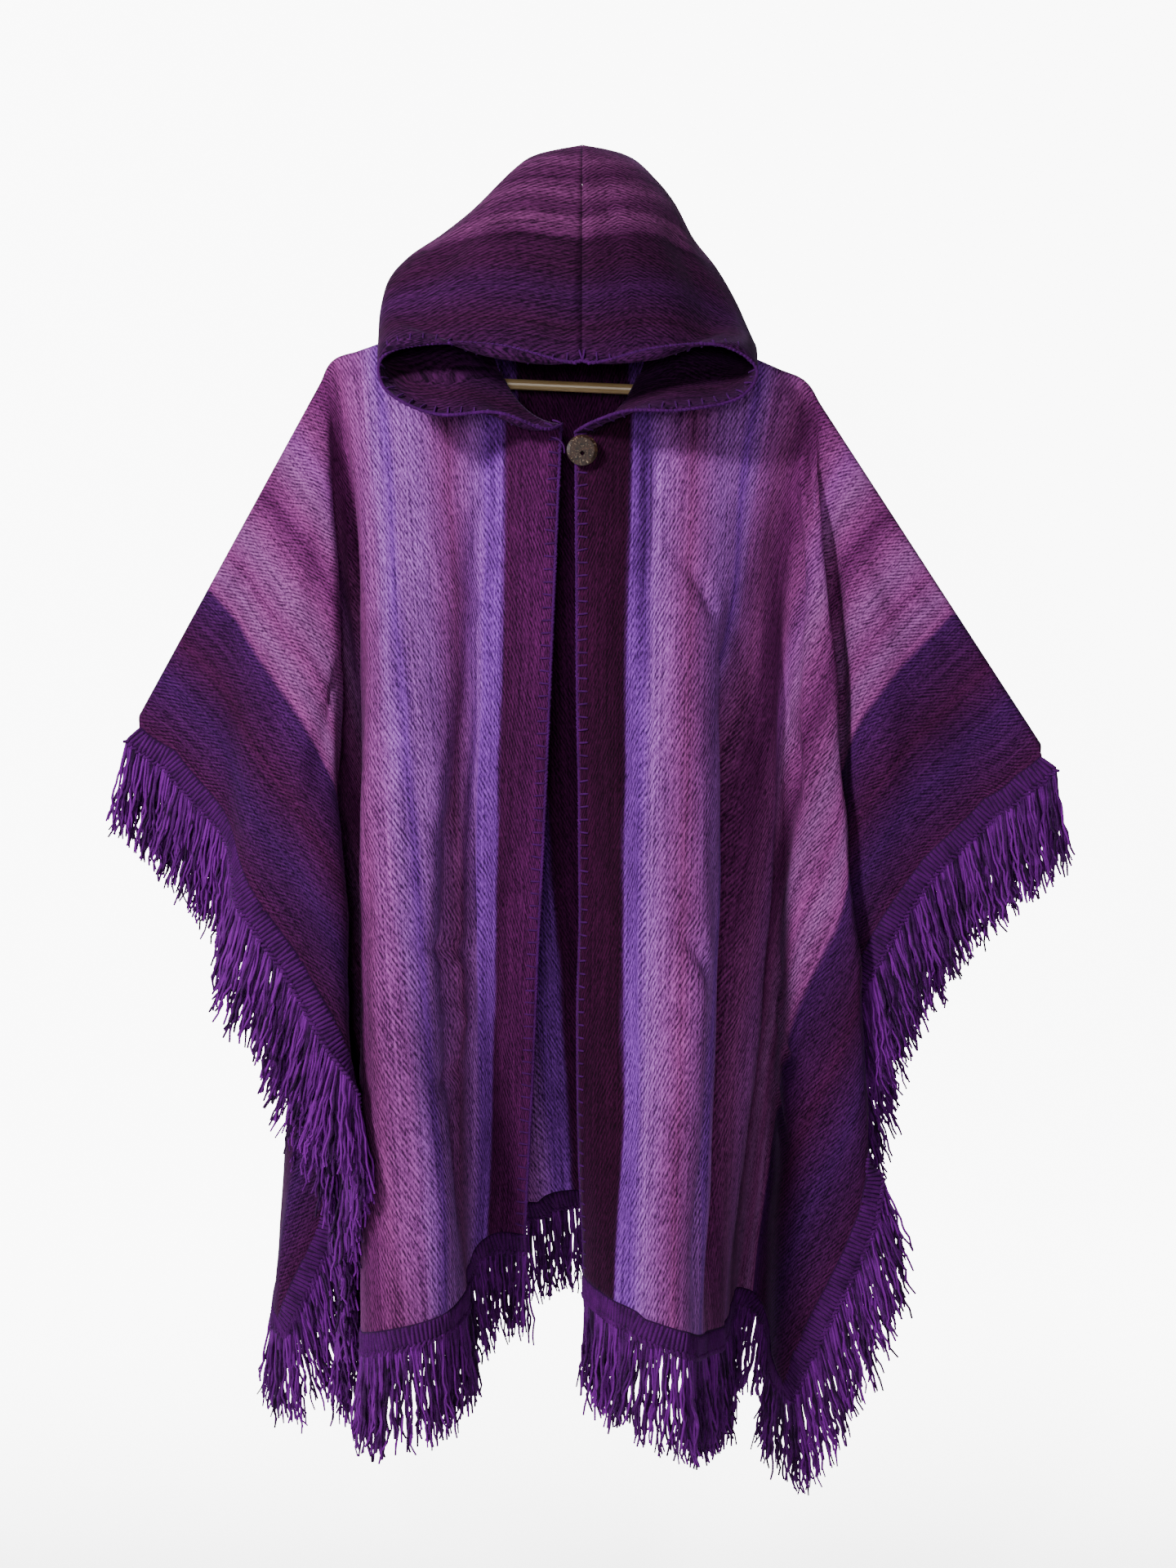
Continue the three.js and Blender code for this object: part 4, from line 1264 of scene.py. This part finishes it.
wood = wood_material()
for name in ("hanger_arms", "trouser_bar"):
    paint_node(name, wood)
bright_wire, wire_tree, wire_shader = new_material("bright_wire")
wire_noise = noise(wire_tree, object_place(wire_tree), 300.0, 2.0)
wire_tree.links.new(remap(wire_tree, wire_noise, 0.3, 0.7, 0.18, 0.34),
                    wire_shader.inputs["Roughness"])
wire_shader.inputs["Base Color"].default_value = (0.72, 0.73, 0.75, 1)
wire_shader.inputs["Metallic"].default_value = 1.0
paint_node("hook", bright_wire)


# ---- The button: a disc of coconut shell, polished and scratched with pale strokes round its
# diamond hole. It is sewn to the right edge, and a yarn loop on the left edge goes over it.
def shell_material(centre):
    material, tree, shader = new_material("coconut_shell")
    local = add_node(tree, "ShaderNodeMapping", vector_type="POINT", inputs={
        "Vector": object_place(tree), "Location": tuple(-c for c in centre)}).outputs[0]
    split = add_node(tree, "ShaderNodeSeparateXYZ", inputs={0: local})
    angle = maths(tree, "ARCTAN2", split.outputs[2], split.outputs[0])
    radius = add_node(tree, "ShaderNodeVectorMath", operation="LENGTH", inputs={0: local})
    rays = add_node(tree, "ShaderNodeCombineXYZ", inputs={
        0: maths(tree, "MULTIPLY", angle, 4.5),
        1: maths(tree, "MULTIPLY", radius.outputs["Value"], 220.0), 2: 0.0}).outputs[0]
    strokes = remap(tree, noise(tree, rays, 1.6, 3.0, 0.7), 0.6, 0.64, 0, 1)
    mottle = noise(tree, local, 260.0, 4.0, 0.65)
    colour = blend_colour(tree, "MIX", remap(tree, mottle, 0.35, 0.65, 0, 1),
                          linear(16, 8, 7), linear(66, 42, 32))
    colour = blend_colour(tree, "MIX", maths(tree, "MULTIPLY", strokes, 0.7), colour,
                          linear(188, 164, 138))
    tree.links.new(colour, shader.inputs["Base Color"])
    add_bump(tree, shader, 0.7, 0.6 * mm, strokes, invert=True)
    shader.inputs["Roughness"].default_value = 0.36
    shader.inputs["Coat Weight"].default_value = 0.25
    return material


button_low, button_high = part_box("button")
button_middle = tuple((a + b) / 2 for a, b in zip(button_low, button_high))
paint_node("button", shell_material(button_middle))
paint_node("button_loop", stitch_yarn)
